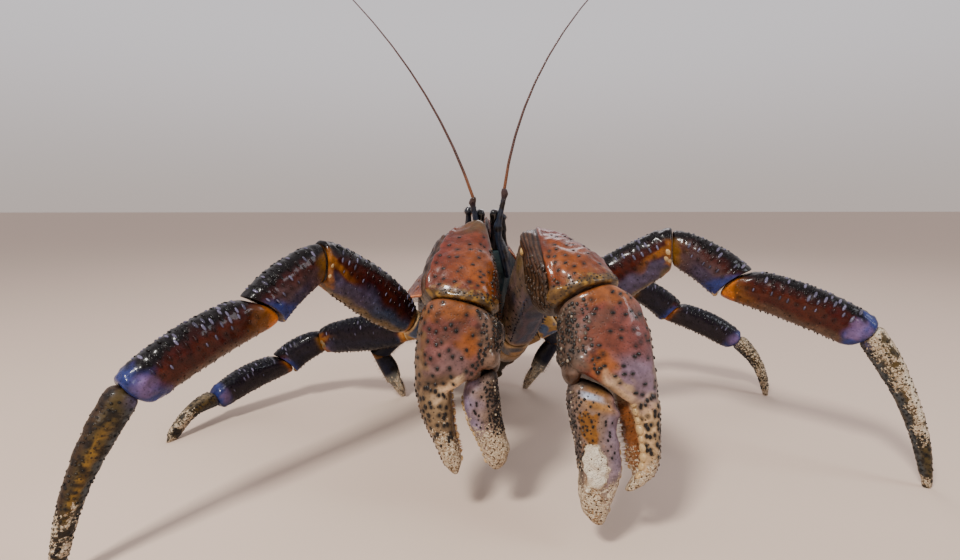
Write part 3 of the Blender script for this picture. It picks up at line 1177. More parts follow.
def merus_layers(place, upper, blotch, fine):
    """The layers of a thigh: steel and violet below, pale at its root, amber at the knee."""
    seam = ramp(np.abs(upper + 0.06 - 0.9 * (place - 0.75)), 0.22, 0.05) * ramp(place, 0.68, 0.9)
    knee = np.maximum(seam, ramp(place + 0.02 * fine, 0.93, 0.98) * ramp(upper, 0.85, 0.6))
    return [
        (STEEL, ramp(upper, -0.05, -0.5)),
        (VIOLET, ramp(upper, 0.0, -0.4) * ramp(place, 0.35, 0.65)),
        (tone(98, 80, 54), ramp(upper, -0.72, -0.95)),
        (tone(160, 104, 46), ramp(place, 0.075, 0.03)),
        (tone(130, 78, 24), knee * 0.8),
    ]


def carpus_layers(place, upper, blotch, fine):
    """The layers of a knee piece: grey-violet below, amber near the thigh, blue towards the shank."""
    return [
        (tone(70, 50, 50), ramp(upper, 0.5, 0.0)),
        (tone(104, 68, 22), ramp(place + 0.05 * fine, 0.24, 0.04) * ramp(upper, 0.85, 0.5)),
        (VIOLET * 0.7, ramp(upper, 0.1, -0.4) * ramp(place, 0.2, 0.5)),
        (COBALT, ramp(place - 0.28 * upper, 0.78, 0.98)),
    ]


def propodus_layers(place, upper, blotch, fine):
    """The layers of a shank: an orange and cream root, and a blue cap with a violet swirl."""
    root = ramp(place + 0.2 * upper + 0.02 * fine, 0.22, 0.02) * ramp(upper, 0.8, 0.45)
    swirl = ((place - 0.91) / 0.07) ** 2 + ((upper - 0.1) / 0.5) ** 2
    return [
        (tone(80, 58, 44), ramp(upper, -0.3, -0.75)),
        (tone(98, 58, 20), root),
        (tone(168, 92, 20), ramp(place + 0.08 * upper, 0.07, 0.03) * ramp(upper, 0.75, 0.4)),
        (CREAM * 0.8, ramp(place, 0.022, 0.01) * ramp(upper, 0.6, 0.2) * 0.6),
        (COBALT, ramp(place + 0.03 * blotch, 0.82, 0.91)),
        (tone(110, 86, 124), ramp(swirl + 0.6 * fine, 1.6, 0.0) * 0.8),
    ]


LEG_LAYERS = {"merus": merus_layers, "carpus": carpus_layers, "propodus": propodus_layers}


def leg_paint(piece, seed, dark):
    """Colours of one leg piece, from its near-black top to its blue and violet underside."""

    def paint(place, turn, points):
        blotch = mottle(points, 0.014, seed)
        fine = mottle(points, 0.005, seed + 1)
        upper = np.sin(np.radians(turn)) + 0.1 * blotch
        top = ramp(upper, 0.36, 0.8)
        if piece == "merus":
            top = np.maximum(top, 0.75 * ramp(place, 0.3, 0.1) * ramp(upper, -0.1, 0.3))
        if piece == "propodus":
            top = top * ramp(place + 0.02 * fine, 0.92, 0.84)
        tint = layered(
            place, MAROON,
            (RUST, ramp(upper, 0.65, 0.15) * ramp(blotch, -1.0, 0.8)),
            *LEG_LAYERS[piece](place, upper, blotch, fine),
            (NIGHT, top),
            (NIGHT, ramp(np.cos(np.radians(turn)), 0.1, -0.7) * 0.4),
            (tone(16, 15, 24), dark * ramp(place, 0.97, 0.8) * ramp(place, 0.0, 0.12)),
        )
        return tint * (1 + 0.16 * fine[..., None]), 0.05 + 0.1 * top, 0.0

    return paint


def foot_paint(seed, outer, streak, sand_from, crust):
    """Colours of a pointed foot: outer colour, olive front with a streak, blue-grey inside, and sand."""

    def paint(place, turn, points):
        blotch = mottle(points, 0.009, seed)
        fine = mottle(points, 0.0035, seed + 1)
        mustard = about(turn + 10 * fine, 10, 28) * ramp(place, 0.1, 0.3) * ramp(place, 0.75, 0.55) * streak
        tip = ramp(place + 0.05 * blotch, sand_from, sand_from + 0.14) * ramp(blotch + fine, 1.2, 0.2)
        cake = about(turn + 10 * blotch, 50, 105) * ramp(blotch + 0.6 * fine, -1.1, 0.1)
        cake = cake * ramp(place + 0.04 * fine, 0.8, 0.6)
        sand = np.maximum(tip, crust * 1.3 * cake)
        return layered(
            place, OLIVE * 0.8,
            (tone(58, 66, 72), about(turn + 8 * blotch, 318, 50) * 0.8),
            (tone(116, 84, 26), mustard),
            (outer, about(turn + 8 * fine, 78, 66) * 0.9),
            (tone(72, 66, 92), ramp(place, 0.1, 0.03) * about(turn, 335, 50)),
            (NIGHT, ramp(fine + 0.5 * blotch, 0.2, 0.8) * 0.8),
            (tone(34, 28, 20), ramp(place, 0.9, 0.97) * crust),
            (tone(126, 112, 88), ramp(sand, 0.2, 0.9) * 0.75),
        ), 0.5, sand

    return paint


def plate_relief(place, turn, points):
    """Cross-running wrinkles between the knob rows, and low swellings."""
    wave = np.sin(place * 2 * math.pi * 13 + mottle(points, 0.02, 3) * 0.8)
    cap = ramp(place, 0.8, 0.88) * mottle(points, 0.0042, 9) * 0.00032
    return about(turn, 90, 120) * 0.00016 * wave + mottle(points, 0.006, 4) * 0.00016 + cap


def top_knobs(item, tube, rows, paint, seed, size, bright_share):
    """Sets the dark cross rows on top of a leg piece, some of them capped with pale violet."""
    place, turn = rows_of(*rows)
    feet = tube.frames(place, turn)
    count = len(place)
    bright = np.random.default_rng(seed + 5).random((count, 1)) < bright_share
    own = paint(place, turn, feet[0])[0] * 0.55
    crown = np.where(bright, shaded(tone(104, 99, 122), count, seed + 4, 0.3, 1.05), own)
    lift = ramp(np.sin(np.radians(turn)), -0.1, 0.6)[:, None]
    scale = np.array((0.001, 0.0027, 0.0007)) * size * (0.6 + 0.4 * lift)
    stained(item, feet[0], NIGHT, 0.0023 * size, 0.6)
    set_on(item, KNOB, feet, scale, crown, seed + 6)


def own_knobs(item, tube, rows, paint, shape_size, seed, low, high, stain=None):
    """Sets knobs in rows on a leg piece, each in its own lighter or darker tint of the skin there."""
    place, turn = rows_of(*rows)
    feet = tube.frames(place, turn)
    tint = shaded(paint(place, turn, feet[0])[0], len(place), seed, low, high)
    if stain:
        stained(item, feet[0], *stain)
    set_on(item, KNOB, feet, shape_size, tint, seed + 1)


for name, limb in LEGS.items():
    pair, side = name.split("_")
    size, seed = limb["size"], limb["seed"]
    first = pair == "leg2"
    cell = 0.001 if first else 0.0012
    tubes = leg_tubes(name, limb, LEG_KEYS, LEG_BOW)
    node = pair + "_ischium_" + side
    item = shell(node, tubes["ischium"], ischium_paint(seed), limb_base_shell, cell, joint=SKIN)
    handed(item, node)
    for index, piece in enumerate(LEG_LAYERS):
        tube = tubes[piece]
        node = pair + "_" + piece + "_" + side
        paint = leg_paint(piece, seed + 10 * index, 0.0 if first else 0.92)
        red = first or piece == "propodus"
        finish, slot = (leg_red_shell, "leg_maroon") if red else (leg_blue_shell, "leg_navy")
        item = shell(node, tube, paint, finish, cell, plate_relief, JOINT_RIMS[piece], joint=SKIN * 0.6,
                     sags=JOINT_SAGS[piece])
        span = KNOB_SPAN[piece]
        count = int(tube.length * (span[1] - span[0]) / (0.0052 * size))
        rows = (range(2, 182, 20), span, count, seed + 3 + index, (3, 0.15), 0.92)
        top_knobs(item, tube, rows, paint, seed, size, 0.45 if first else 0.2)
        rows = ((-20, -34, -48, -62, 196, 214, 232), span, count, seed + 7)
        own_knobs(item, tube, rows, paint, (0.0007, 0.001, 0.0004), seed + 8, 0.3, 1.5)
        rows = (SPINE_TURNS[piece], (0.15, 0.9), count, seed + 11, (2, 0.2))
        studded(item, tube, rows, SPINE, (0.001, 0.0008, 0.0013), tone(50, 38, 30), seed + 12)
        if piece in KNUCKLE_SPOTS:
            spots = tube.frames(*np.array(KNUCKLE_SPOTS[piece]).T, -0.0009)
            knuckle = np.array((0.0024, 0.0032, 0.0015)) * size
            set_on(item, KNOB, spots, knuckle, CREAM * (0.8 if first else 0.3), seed + 13, 0.35)
        handed(item, node)
    tube = tubes["dactyl"]
    node = pair + "_dactyl_" + side
    paint = foot_paint(seed + 40, *FOOT_LOOKS[name])
    skin = tone(60, 56, 60)
    item = shell(node, tube, paint, foot_shell, cell * 0.9, finger_relief, (0.0034, 0.0006), True, skin)
    rows = (range(12, 372, 24), (0.05, 0.9), 24, seed + 41, (7, 0.35), 0.8)
    own_knobs(item, tube, rows, paint, (0.0007, 0.0009, 0.0004), seed + 42, 0.1, 0.5, (NIGHT, 0.0012, 0.7))
    handed(item, node)

# Small fourth legs. They end in a pale pincer that cleans the gills, and are turned in under the
# body: three smooth blue-black pieces, the last with a fixed finger grown from it, and a hinged one.
SMALL_LEGS = {
    "leg4_r": dict(
        root=(-0.043, 0.062, 0.069), stub=(-12, -8), last=(-148.5, -63.6), size=1.0,
        rows=((0.025, -6.0, -12.0), (0.027, -6.0, -42.0), (0.0305, -148.5, -63.6)),
    ),
    "leg4_l": dict(
        root=(0.043, 0.062, 0.069), stub=(-20, -4), last=(-156.7, -60.7), size=1.0,
        rows=((0.023, -28.0, -6.0), (0.0225, -30.0, -40.0), (0.036, -156.7, -60.7)),
    ),
}
SMALL_LEG_KEYS = {
    "merus": ((0, 0.0062, 0.0072), (0.6, 0.007, 0.0086), (1, 0.007, 0.008)),
    "carpus": ((0, 0.006, 0.0072), (0.6, 0.0068, 0.0082), (1, 0.0068, 0.0078)),
    "propodus": ((0, 0.0062, 0.007), (0.5, 0.0066, 0.008), (1, 0.0058, 0.007)),
    "dactyl": ((0, 0.0036, 0.0056), (0.5, 0.003, 0.0048), (1, 0.0018, 0.0022)),
}
SMALL_LEG_BOW = dict.fromkeys(SMALL_LEG_KEYS, 0.001)
# The fixed finger of the small pincer: how far it lies to the side, its root, reach and sizes
PINCER_SIDE = 0.0074
PINCER_SPAN = (0.62, 1.36)
PINCER_INSET = 0.18
PINCER_KEYS = ((0, 0.0024, 0.004), (0.5, 0.0021, 0.0032), (1, 0.001, 0.0014))
PINCER_CELL = 0.0008
pincer_shell = shell_finish("leg4_finger_tan_shell", 0.5, 0.1)


def small_leg_paint(seed):
    """Colours of a small leg piece: blue-black, brown towards its joints."""

    def paint(place, turn, points):
        upper = np.sin(np.radians(turn)) + 0.3 * mottle(points, 0.008, seed)
        brown = (tone(110, 74, 36), ramp(place, 0.1, 0.03))
        return layered(place, tone(20, 23, 38), (NIGHT, ramp(upper, 0.1, 0.7)), brown), 0.15, 0.0

    return paint


def pincer_paint(place, turn, points):
    """Colours of the pale small pincer, dusted with sand."""
    grey = (tone(60, 62, 74), ramp(mottle(points, 0.006, 530), 0, 1))
    return layered(place, tone(120, 116, 108), grey), 0.2, ramp(place, 0.1, 0.5) * 0.8


def fixed_finger_paint(tube, paint):
    """Colours of a last leg piece with its fixed finger: the piece's own, paler and sandy at its end."""

    def laid(points):
        offset = points - tube.start
        place = offset @ tube.along / tube.length
        turn = np.degrees(np.arctan2(offset @ tube.up, offset @ tube.across))
        tint, speck, _ = paint(np.clip(place, 0, 1), turn, points)
        pale = (tone(128, 124, 112), ramp(place, 0.6, 1.0))
        return layered(place, tint, pale), speck, ramp(place, 0.7, 1.1) * 0.7

    return laid


def pincer_grids(tube):
    """The last leg piece and the fixed finger that grows from its side, as grids to be melded."""
    near = tube.surface(PINCER_SPAN[0], 0)
    start = near + (tube.surface(PINCER_SPAN[0], 180) - near) * PINCER_INSET
    far = tube.start + (tube.end - tube.start) * PINCER_SPAN[1] + tube.across * PINCER_SIDE
    way = unit(far - start)
    finger = Tube(start, far, (way, way), tube.across, tube.up, PINCER_KEYS)
    return (tube_grid(tube, PINCER_CELL, None, (0.0014, 0.001))[2],
            tube_grid(finger, PINCER_CELL, None, (0.0004, 0.0004), True)[2])


for name, limb in SMALL_LEGS.items():
    tubes = leg_tubes(name, limb, SMALL_LEG_KEYS, SMALL_LEG_BOW)
    last = tubes.pop("dactyl")
    for index, (piece, tube) in enumerate(tubes.items()):
        node = "leg4_" + piece + "_" + name[-1]
        paint = small_leg_paint(500 + index)
        if piece == "propodus":
            item = melded(node, pincer_grids(tube), fixed_finger_paint(tube, paint), leg_blue_shell, 0.0004)
        else:
            item = shell(node, tube, paint, leg_blue_shell, 0.001, rims=(0.0014, 0.0008), joint=SKIN)
        rows = (range(20, 170, 25), (0.1, 0.9), 8, 510 + index, (6, 0.3))
        studded(item, tube, rows, KNOB, (0.0005, 0.0007, 0.0003), NIGHT, 515 + index)
        rows = ((250, 290), (0.1, 0.95), 14, 520 + index, (8, 0.4))
        studded(item, tube, rows, BRISTLE, (0.00016, 0.00016, 0.0032), tone(120, 84, 44), 525 + index)
        handed(item, node)
    node = "leg4_dactyl_" + name[-1]
    item = shell(node, last, pincer_paint, pincer_shell, 0.0007, None, (0.0012, 0.0005), True, DARK)
    rows = (range(60, 300, 40), (0.1, 0.9), 10, 531, (10, 0.4))
    studded(item, last, rows, BRISTLE, (0.00014, 0.00014, 0.0026), tone(150, 116, 66), 532)
    handed(item, node)

# Carapace. The back shield is one plate: a narrow gabled front that ends in the beak between the
# eyes, a neck groove across it, and two broad wrinkled swellings behind that cover the gill lungs.
ROSTRUM_Y = -0.07
REAR_Y = 0.076
# Place from front to rear, half width, height of the side edge, height of the crown, roundness
CARAPACE = (
    (0.0, 0.001, 0.1632, 0.165, 1.2), (0.05, 0.002, 0.1612, 0.1664, 1.2), (0.08, 0.004, 0.156, 0.1668, 1.2),
    (0.11, 0.015, 0.15, 0.1668, 1.2), (0.2, 0.026, 0.138, 0.1655, 1.3), (0.35, 0.035, 0.12, 0.161, 1.5),
    (0.44, 0.0365, 0.112, 0.1535, 1.7), (0.5, 0.045, 0.108, 0.1515, 1.9), (0.64, 0.059, 0.103, 0.15, 2.0),
    (0.8, 0.065, 0.0975, 0.142, 2.2), (0.93, 0.059, 0.093, 0.13, 2.3), (1.0, 0.048, 0.09, 0.116, 2.3),
)
# The neck groove (place at the middle and at the edge, width, depth) and the pair along the back
# (part of the half width, width, depth), which fades in behind it. None takes more than a part of
# the height.
NECK_GROOVE = (0.5, 0.42, 0.026, 0.003)
BACK_GROOVE = (0.19, 0.07, 0.0016)
GROOVE_FLOOR = 0.4
GROOVE_FADE = 0.125
GABLE_LIFT = 0.005
MARGIN_RISE = 0.00022
CARAPACE_RINGS = 190
CARAPACE_TOP = 150
CARAPACE_UNDER = 40
LOOSE_KNOBS = 900
MARGIN_KNOBS = 90
carapace_shell = shell_finish("carapace_brown_shell", 0.38, 0.4, 0.0019, 0.0002)


def body_section(place):
    """Where cross sections of the carapace stand, and their sizes."""
    return ROSTRUM_Y + (REAR_Y - ROSTRUM_Y) * place, eased(CARAPACE, place)


def behind_neck(place, across):
    """How far some places lie behind the neck groove."""
    middle, edge = NECK_GROOVE[:2]
    return place - (middle + (edge - middle) * across)


def back_point(place, part):
    """Points on the back of the carapace at some places and parts of its half width, with its grooves."""
    y, sizes = body_section(place)
    half, edge, crown, roundness = [sizes[..., column] for column in range(4)]
    rise = (crown - edge) * (1 - np.abs(part) ** roundness)
    behind = behind_neck(place, np.abs(part))
    neck = NECK_GROOVE[3] * np.exp(-((behind / NECK_GROOVE[2]) ** 2))
    column, width, depth = BACK_GROOVE
    fade = np.clip(behind / GROOVE_FADE, 0, 1)
    groove = neck + fade * depth * np.exp(-(((np.abs(part) - column) / width) ** 2))
    return np.stack([half * part, y, edge + np.maximum(rise - groove, rise * GROOVE_FLOOR)], axis=-1)


def gable(place, part):
    """How far the front of the carapace stands up along its middle."""
    return GABLE_LIFT * ramp(place, 0.4, 0.12) * ramp(place, 0.0, 0.04) * (1 - np.abs(part) ** 2)


def carapace_feet(place, part):
    """Points on the back of the carapace, with their outward way and the way to the rear."""
    foot = back_point(place, part)
    foot[..., 2] += gable(place, part)
    ahead = back_point(place + 0.004, part) - back_point(place - 0.004, part)
    beside = [back_point(place, np.clip(part + step, -1, 1)) for step in (0.01, -0.01)]
    out = np.cross(beside[0] - beside[1], ahead)
    out /= np.linalg.norm(out, axis=-1, keepdims=True)
    return foot, out * np.sign(out[..., 2:]), ahead / np.linalg.norm(ahead, axis=-1, keepdims=True)


def carapace_top(places, parts):
    """The back with its gable, its wrinkles behind the neck groove and its low lumps."""
    top = back_point(places, parts)
    top[..., 2] += gable(places, parts)
    gill = ramp(behind_neck(places, np.abs(parts)), 0.02, 0.12)
    wave = np.sin(1250 * top[..., 1] - 420 * np.abs(top[..., 0]) + 1.6 * mottle(top, 0.018, 601))
    wrinkle = wave * 0.00028 * gill * ramp(np.abs(parts), 0.2, 0.35)
    lump = mottle(top, 0.007, 602) * 0.0003 * ramp(places, 0.02, 0.15)
    calm = ramp(1 - np.abs(parts), 0.0, 0.06) * ramp(places, 0.0, 0.08) * ramp(places, 1.0, 0.97)
    top[..., 2] += (wrinkle + lump) * calm
    return top


def carapace_tint(points, place, part):
    """Colours of the shield: red-brown, rose-brown behind the neck, orange along its margins."""
    blotch = mottle(points, 0.02, 603)
    fine = mottle(points, 0.006, 604)
    part = np.abs(part)
    behind = behind_neck(place, part)
    gill = ramp(behind, -0.01, 0.05)
    return layered(
        place, tone(92, 42, 26),
        (tone(58, 28, 28), ramp(blotch, -0.2, 1.2)),
        (tone(78, 40, 34), gill * 0.8),
        (tone(112, 62, 40), gill * ramp(fine, 0.2, 1.4) * 0.7),
        (tone(34, 26, 38), gill * ramp(part, 0.17, 0.08)),
        (tone(28, 15, 15), np.exp(-((behind / 0.03) ** 2)) * 0.7),
        (tone(170, 86, 54), ramp(part, 0.86, 0.985) * ramp(place, 0.7, 0.35)),
        (tone(126, 70, 38), ramp(part, 0.93, 0.99)),
        (tone(44, 34, 44), ramp(place, 0.1, 0.0)),
    )


place = np.sin(np.linspace(0, math.pi / 2, CARAPACE_RINGS)) * 0.35 + np.linspace(0, 1, CARAPACE_RINGS) * 0.65
part = np.sin(np.linspace(-math.pi / 2, math.pi / 2, CARAPACE_TOP))
places, parts = np.meshgrid(place, part, indexing="ij")
_, unders = np.meshgrid(place, np.linspace(1, -1, CARAPACE_UNDER + 2)[1:-1], indexing="ij")
y, sizes = body_section(place[:, None])
half, edge = sizes[..., 0], sizes[..., 1]
low = edge + np.minimum(MARGIN_RISE, 0.1 * half) * (1 - unders**4)
under = np.stack([half * unders, y + 0 * unders, low], axis=-1)
points = np.concatenate([carapace_top(places, parts), under], axis=1)
spread = np.concatenate([parts, unders], axis=1)
tint = carapace_tint(points, np.broadcast_to(place[:, None], spread.shape), spread)
item = laid_mesh("carapace", points, (tint, 0.22, 0.0), carapace_shell)
chance = np.random.default_rng(605)
place = chance.uniform(0.06, 0.97, LOOSE_KNOBS)
part = chance.uniform(-0.97, 0.97, LOOSE_KNOBS)
size = np.where(np.abs(part) > 0.8, 1.3, 0.8)[:, None] * np.array((0.0008, 0.0009, 0.0004))
tint = shaded(tone(120, 70, 48), LOOSE_KNOBS, 606, 0.35, 1.4)
set_on(item, KNOB, carapace_feet(place, part), size, tint, 607)
for way in (-1, 1):
    feet = carapace_feet(np.linspace(0.12, 0.97, MARGIN_KNOBS), np.full(MARGIN_KNOBS, way * 0.985))
    set_on(item, KNOB, feet, (0.0011, 0.0009, 0.0007), tone(186, 112, 70), 608 + way)
handed(item, "carapace")

# Thorax. The head, breast and flanks under the shield are one shell that carries the base joints
# of the limbs: blue-grey sides, and paler yellow where the limbs come out.
FACE_Y = ROSTRUM_Y + 0.05 * (REAR_Y - ROSTRUM_Y)
FACE_TOP = 0.1495
# Place from front to rear, half width on top, half width of the belly, height of the belly
THORAX = (
    (0.05, 0.0175, 0.012, 0.118), (0.12, 0.02, 0.014, 0.1), (0.25, 0.029, 0.02, 0.074),
    (0.45, 0.0335, 0.025, 0.065), (0.65, 0.044, 0.028, 0.06), (0.85, 0.05, 0.028, 0.059),
    (1.0, 0.042, 0.024, 0.062),
)
# Parts of a cross section: upper flank, widest height, side of the belly
THORAX_TOP = 0.5
FLANK_WIDTH = 0.97
FLANK_HEIGHT = 0.45
BELLY_SIDE_HEIGHT = 0.15
BELLY_FLOOR_WIDTH = 0.6
STUB_LENGTH = 0.026
STUB_SIZE = {"claw": 0.0108, "leg2": 0.0095, "leg3": 0.0082, "leg4": 0.0066}
STUB_KEYS = ((0, 1.15, 1.25), (0.7, 1.0, 1.15), (1, 0.9, 1.05))
THORAX_RINGS = 130
THORAX_STEPS = 8
BREAST_KNOBS = 500


def thorax_points():
    """The closed grid of the flanks and belly, as a smooth curve through each cross section."""
    place = np.linspace(THORAX[0][0], 1, THORAX_RINGS)
    half, belly_half, belly = eased(THORAX, place).T
    y, sizes = body_section(place)
    top = np.minimum(sizes[:, 1] - GAP, FACE_TOP)
    flank = top + (belly - top) * FLANK_HEIGHT
    side = belly + BELLY_SIDE_HEIGHT * (top - belly)
    zero = np.zeros(len(place))
    right = [(zero, top), (half * THORAX_TOP, top), (half, top), (half * FLANK_WIDTH, flank),
             (belly_half, side), (belly_half * BELLY_FLOOR_WIDTH, belly), (zero, belly)]
    corners = np.array(right + [(-x, z) for x, z in right[-2:0:-1]]).transpose(2, 0, 1)
    steps = np.arange(THORAX_STEPS)[None, None, :, None] / THORAX_STEPS
    before, low, high, after = [np.roll(corners, shift, axis=1)[:, :, None, :] for shift in (1, 0, -1, -2)]
    bend_low, bend_high = (high - before) * 0.4, (after - low) * 0.4
    curve = low * (2 * steps**3 - 3 * steps**2 + 1) + high * (3 * steps**2 - 2 * steps**3)
    curve = curve + bend_low * (steps**3 - 2 * steps**2 + steps) + bend_high * (steps**3 - steps**2)
    curve = curve.reshape(len(place), -1, 2)
    curve[..., 1] = np.minimum(curve[..., 1], top[:, None])
    wide = np.broadcast_to(y[:, None], curve.shape[:2])
    narrow = 1 - 0.22 * ramp(wide, FACE_Y + 0.022, FACE_Y) * ramp(curve[..., 1], 0.11, 0.138)
    return np.stack([curve[..., 0] * narrow, wide, curve[..., 1]], axis=-1)


def stub_tube(name, limb):
    """The base joint of one limb, which grows out of the breast."""
    ways, cuts = bisected([limb["stub"], limb["rows"][0][1:]], name[-1])
    end = np.array(limb["root"])
    start = end - ways[0] * STUB_LENGTH
    across = np.cross(ways[0], UP)
    return Tube(start, end, (ways[0], cuts[0]), across, UP, STUB_KEYS, STUB_SIZE[name[:4]])


STUBS = [stub_tube(name, limb) for name, limb in (*ARMS.items(), *LEGS.items(), *SMALL_LEGS.items())]


def thorax_paint(points):
    """Colours of the flanks, paler on the base joints of the limbs."""
    blotch = mottle(points, 0.016, 620)
    fine = mottle(points, 0.005, 621)
    yellow = []
    for tube in STUBS:
        along = (points - tube.start) @ tube.along / tube.length
        foot = tube.start + np.clip(along, 0, 1)[:, None] * tube.along * tube.length
        away = np.linalg.norm(points - foot, axis=1)
        yellow.append((tone(120, 90, 50), ramp(away, 0.02, 0.012) * ramp(along, 0.25, 0.7)))
    return layered(
        blotch, tone(50, 52, 62),
        (tone(32, 42, 48), ramp(blotch, -0.2, 1.0)),
        (tone(26, 44, 46), ramp(points[:, 1], -0.045, -0.058) * 0.9),
        (tone(84, 70, 54), ramp(points[:, 2], 0.085, 0.062)),
        (tone(72, 60, 66), ramp(fine, 0.6, 1.8) * 0.5),
        *yellow,
    ), 0.3, 0.0


grid = thorax_points()
grids = [grid, *(tube_grid(stub, 0.0011, None, (0.001, 0.0012))[2] for stub in STUBS)]
item = melded("thorax", grids, thorax_paint, limb_base_shell, 0.001)
chance = np.random.default_rng(622)
ring = chance.integers(4, THORAX_RINGS - 4, BREAST_KNOBS)
step = chance.integers(0, grid.shape[1], BREAST_KNOBS)
foot = grid[ring, step]
ahead = grid[ring + 1, step] - grid[ring - 1, step]
out = np.cross(ahead, grid[ring, (step + 1) % grid.shape[1]] - grid[ring, step - 1])
out /= np.linalg.norm(out, axis=1, keepdims=True) + 1e-12
out *= np.sign((out * (foot * (1, 0, 1) - (0, 0, 0.1))).sum(axis=1, keepdims=True))
low = foot[:, 2] < 0.105
set_on(item, KNOB, (foot[low], out[low], ahead[low]), (0.0007, 0.0008, 0.0004), tone(60, 54, 58), 623)
handed(item, "thorax")

# Abdomen. The tail of a grown coconut crab is bare leathery skin under a row of hard dark plates,
# and is carried curled down and forward. Each ring of it overlaps the next one with a rear lip.
TAIL_NODES = ("abdomen_1", "abdomen_2", "abdomen_3", "abdomen_4", "abdomen_5", "telson")
TAIL_PIVOT = np.array((0.0, REAR_Y + GAP, 0.053))
TAIL_RADIUS = 0.037
TAIL_TURNS = (0, 30, 58, 85, 112, 138, 166)
TAIL_HALF_WIDTH = (0.04, 0.051, 0.054, 0.053, 0.049, 0.042, 0.028)
TAIL_HALF_DEPTH = (0.027, 0.032, 0.033, 0.031, 0.023, 0.0145, 0.008)
# Each plate starts this much narrower than the rear lip of the one before it
TAIL_LIP = 0.94
TAIL_LIP_PLACE = 0.7
TAIL_BOW = 0.0015
TAIL_POWER = 2.1
tail_skin = shell_finish("abdomen_olive_skin", 0.62, 0.05, 0.0013, 0.0002, 0.35)


def tail_paint(index):
    """Colours of one tail ring: a dark plate above, olive-brown wrinkled skin at the sides."""

    def paint(place, turn, points):
        blotch = mottle(points, 0.015, 640 + index)
        fine = mottle(points, 0.004, 650 + index)
        plate = about(turn + 5 * blotch, 90, 80)
        return layered(
            place, tone(78, 58, 34),
            (tone(56, 46, 32), ramp(blotch, -0.2, 1.0)),
            (tone(66, 34, 24), ramp(plate, 0.1, 0.4)),
            (tone(36, 22, 20), ramp(plate, 0.3, 0.9) * 0.7),
            (tone(84, 52, 30), ramp(plate, 0.1, 0.4) * ramp(place + 0.04 * fine, 0.86, 0.97) * 0.7),
            (tone(104, 82, 52), ramp(fine, 0.8, 1.9) * 0.5),
        ), 0.25, 0.0

    return paint


def tail_relief(place, turn, points):
    """The raised plate and its rear lip on top, and soft folds at the sides."""
    plate = ramp(about(turn, 90, 80), 0.08, 0.3)
    folds = np.sin(place * 2 * math.pi * 5 + mottle(points, 0.012, 7) * 1.5) * 0.0005 * (1 - plate)
    lip = plate * (0.001 + 0.0009 * ramp(place, 0.62, 0.86))
    ridges = np.sin(place * 2 * math.pi * 3 + mottle(points, 0.02, 9)) * 0.0003 * plate
    lumps = mottle(points, 0.004, 8) * 0.00025, mottle(points, 0.012, 10) * 0.0004
    return lip - 0.0012 + folds + ridges + lumps[0] + lumps[1]


for index, node in enumerate(TAIL_NODES):
    turns = np.radians(TAIL_TURNS[index : index + 2])
    spokes = [np.array((0, math.sin(turn), math.cos(turn))) for turn in turns]
    ends = [TAIL_PIVOT + spoke * TAIL_RADIUS for spoke in spokes]
    cuts = [np.array((0, spoke[2], -spoke[1])) for spoke in spokes]
    near = (TAIL_HALF_WIDTH[index] * TAIL_LIP, TAIL_HALF_DEPTH[index] * TAIL_LIP)
    far = (TAIL_HALF_WIDTH[index + 1], TAIL_HALF_DEPTH[index + 1])
    keys = ((0, *near), (TAIL_LIP_PLACE, *far), (1, *far))
    across = np.array((1.0, 0, 0))
    tube = Tube(*ends, cuts, across, spokes[0] + spokes[1], keys, bow=TAIL_BOW, power=TAIL_POWER)
    paint = tail_paint(index)
    item = shell(node, tube, paint, tail_skin, 0.0011, tail_relief, (0.0045, 0.0014), joint=SKIN * 0.3)
    rows = (range(20, 165, 9), (0.15, 0.9), 5, 660 + index, (5, 0.4))
    studded(item, tube, rows, KNOB, (0.0007, 0.0009, 0.0004), tone(62, 40, 34), 670 + index, lift=-0.0003)
    rows = (range(186, 355, 8), (0.5, 0.95), 3, 680 + index, (5, 0.4))
    size = (0.00015, 0.00015, 0.0028)
    studded(item, tube, rows, BRISTLE, size, tone(96, 68, 38), 690 + index, lift=-0.0009)
    handed(item, node)

# Eyes. Black glossy eyes stand forward under the beak on short stalks of plain shell, one each side.
# Points of the head are given for the left side, and mirrored for the right.
EYE_FOOT = np.array((0.0052, -0.0592, FACE_TOP + GAP))
EYE_TOP = np.array((0.0047, -0.068, 0.1725))
EYE_REACH = (-0.0085, 0.0052)
STALK_KEYS = ((0, 0.0019, 0.0019), (0.5, 0.0017, 0.0017), (1, 0.0022, 0.0022))
CORNEA_KEYS = ((0.0, 0.0024, 0.0024), (0.35, 0.0028, 0.0028), (0.75, 0.0032, 0.0032), (0.93, 0.0023, 0.0023),
               (1.0, 0.0008, 0.0008))
eye_gloss = shell_finish("eye_black_gloss", 0.1, 1.0, 0.0005, 0.00001, 0.05)
feeler_shell = shell_finish("feeler_brown_shell", 0.45, 0.1, 0.0008, 0.00005)


def plain_paint(colour, other, size, seed):
    """Two colours in blotches."""

    def paint(place, turn, points):
        return layered(place, colour, (other, ramp(mottle(points, size, seed), 0.0, 1.2))), 0.1, 0.0

    return paint


for side in "rl":
    outward = outward_of(side)
    foot, top = sided(EYE_FOOT, side), sided(EYE_TOP, side)
    way = unit(top - foot)
    stalk = Tube(foot, top, (UP, way), outward, FRONT, STALK_KEYS, size=1.3)
    brown = plain_paint(tone(18, 14, 20), tone(44, 30, 26), 0.003, 700)
    node = "eyestalk_" + side
    handed(shell(node, stalk, brown, feeler_shell, 0.0004, None, (0.0004, 0.0004)), node)
    ends = [top + way * reach for reach in EYE_REACH]
    eye = Tube(*ends, (way, way), outward, FRONT, CORNEA_KEYS)
    black = plain_paint(tone(10, 7, 8), tone(30, 20, 24), 0.003, 701)
    node = "eye_" + side
    handed(shell(node, eye, black, eye_gloss, 0.0003, None, (0.0008, 0.0005), True), node)

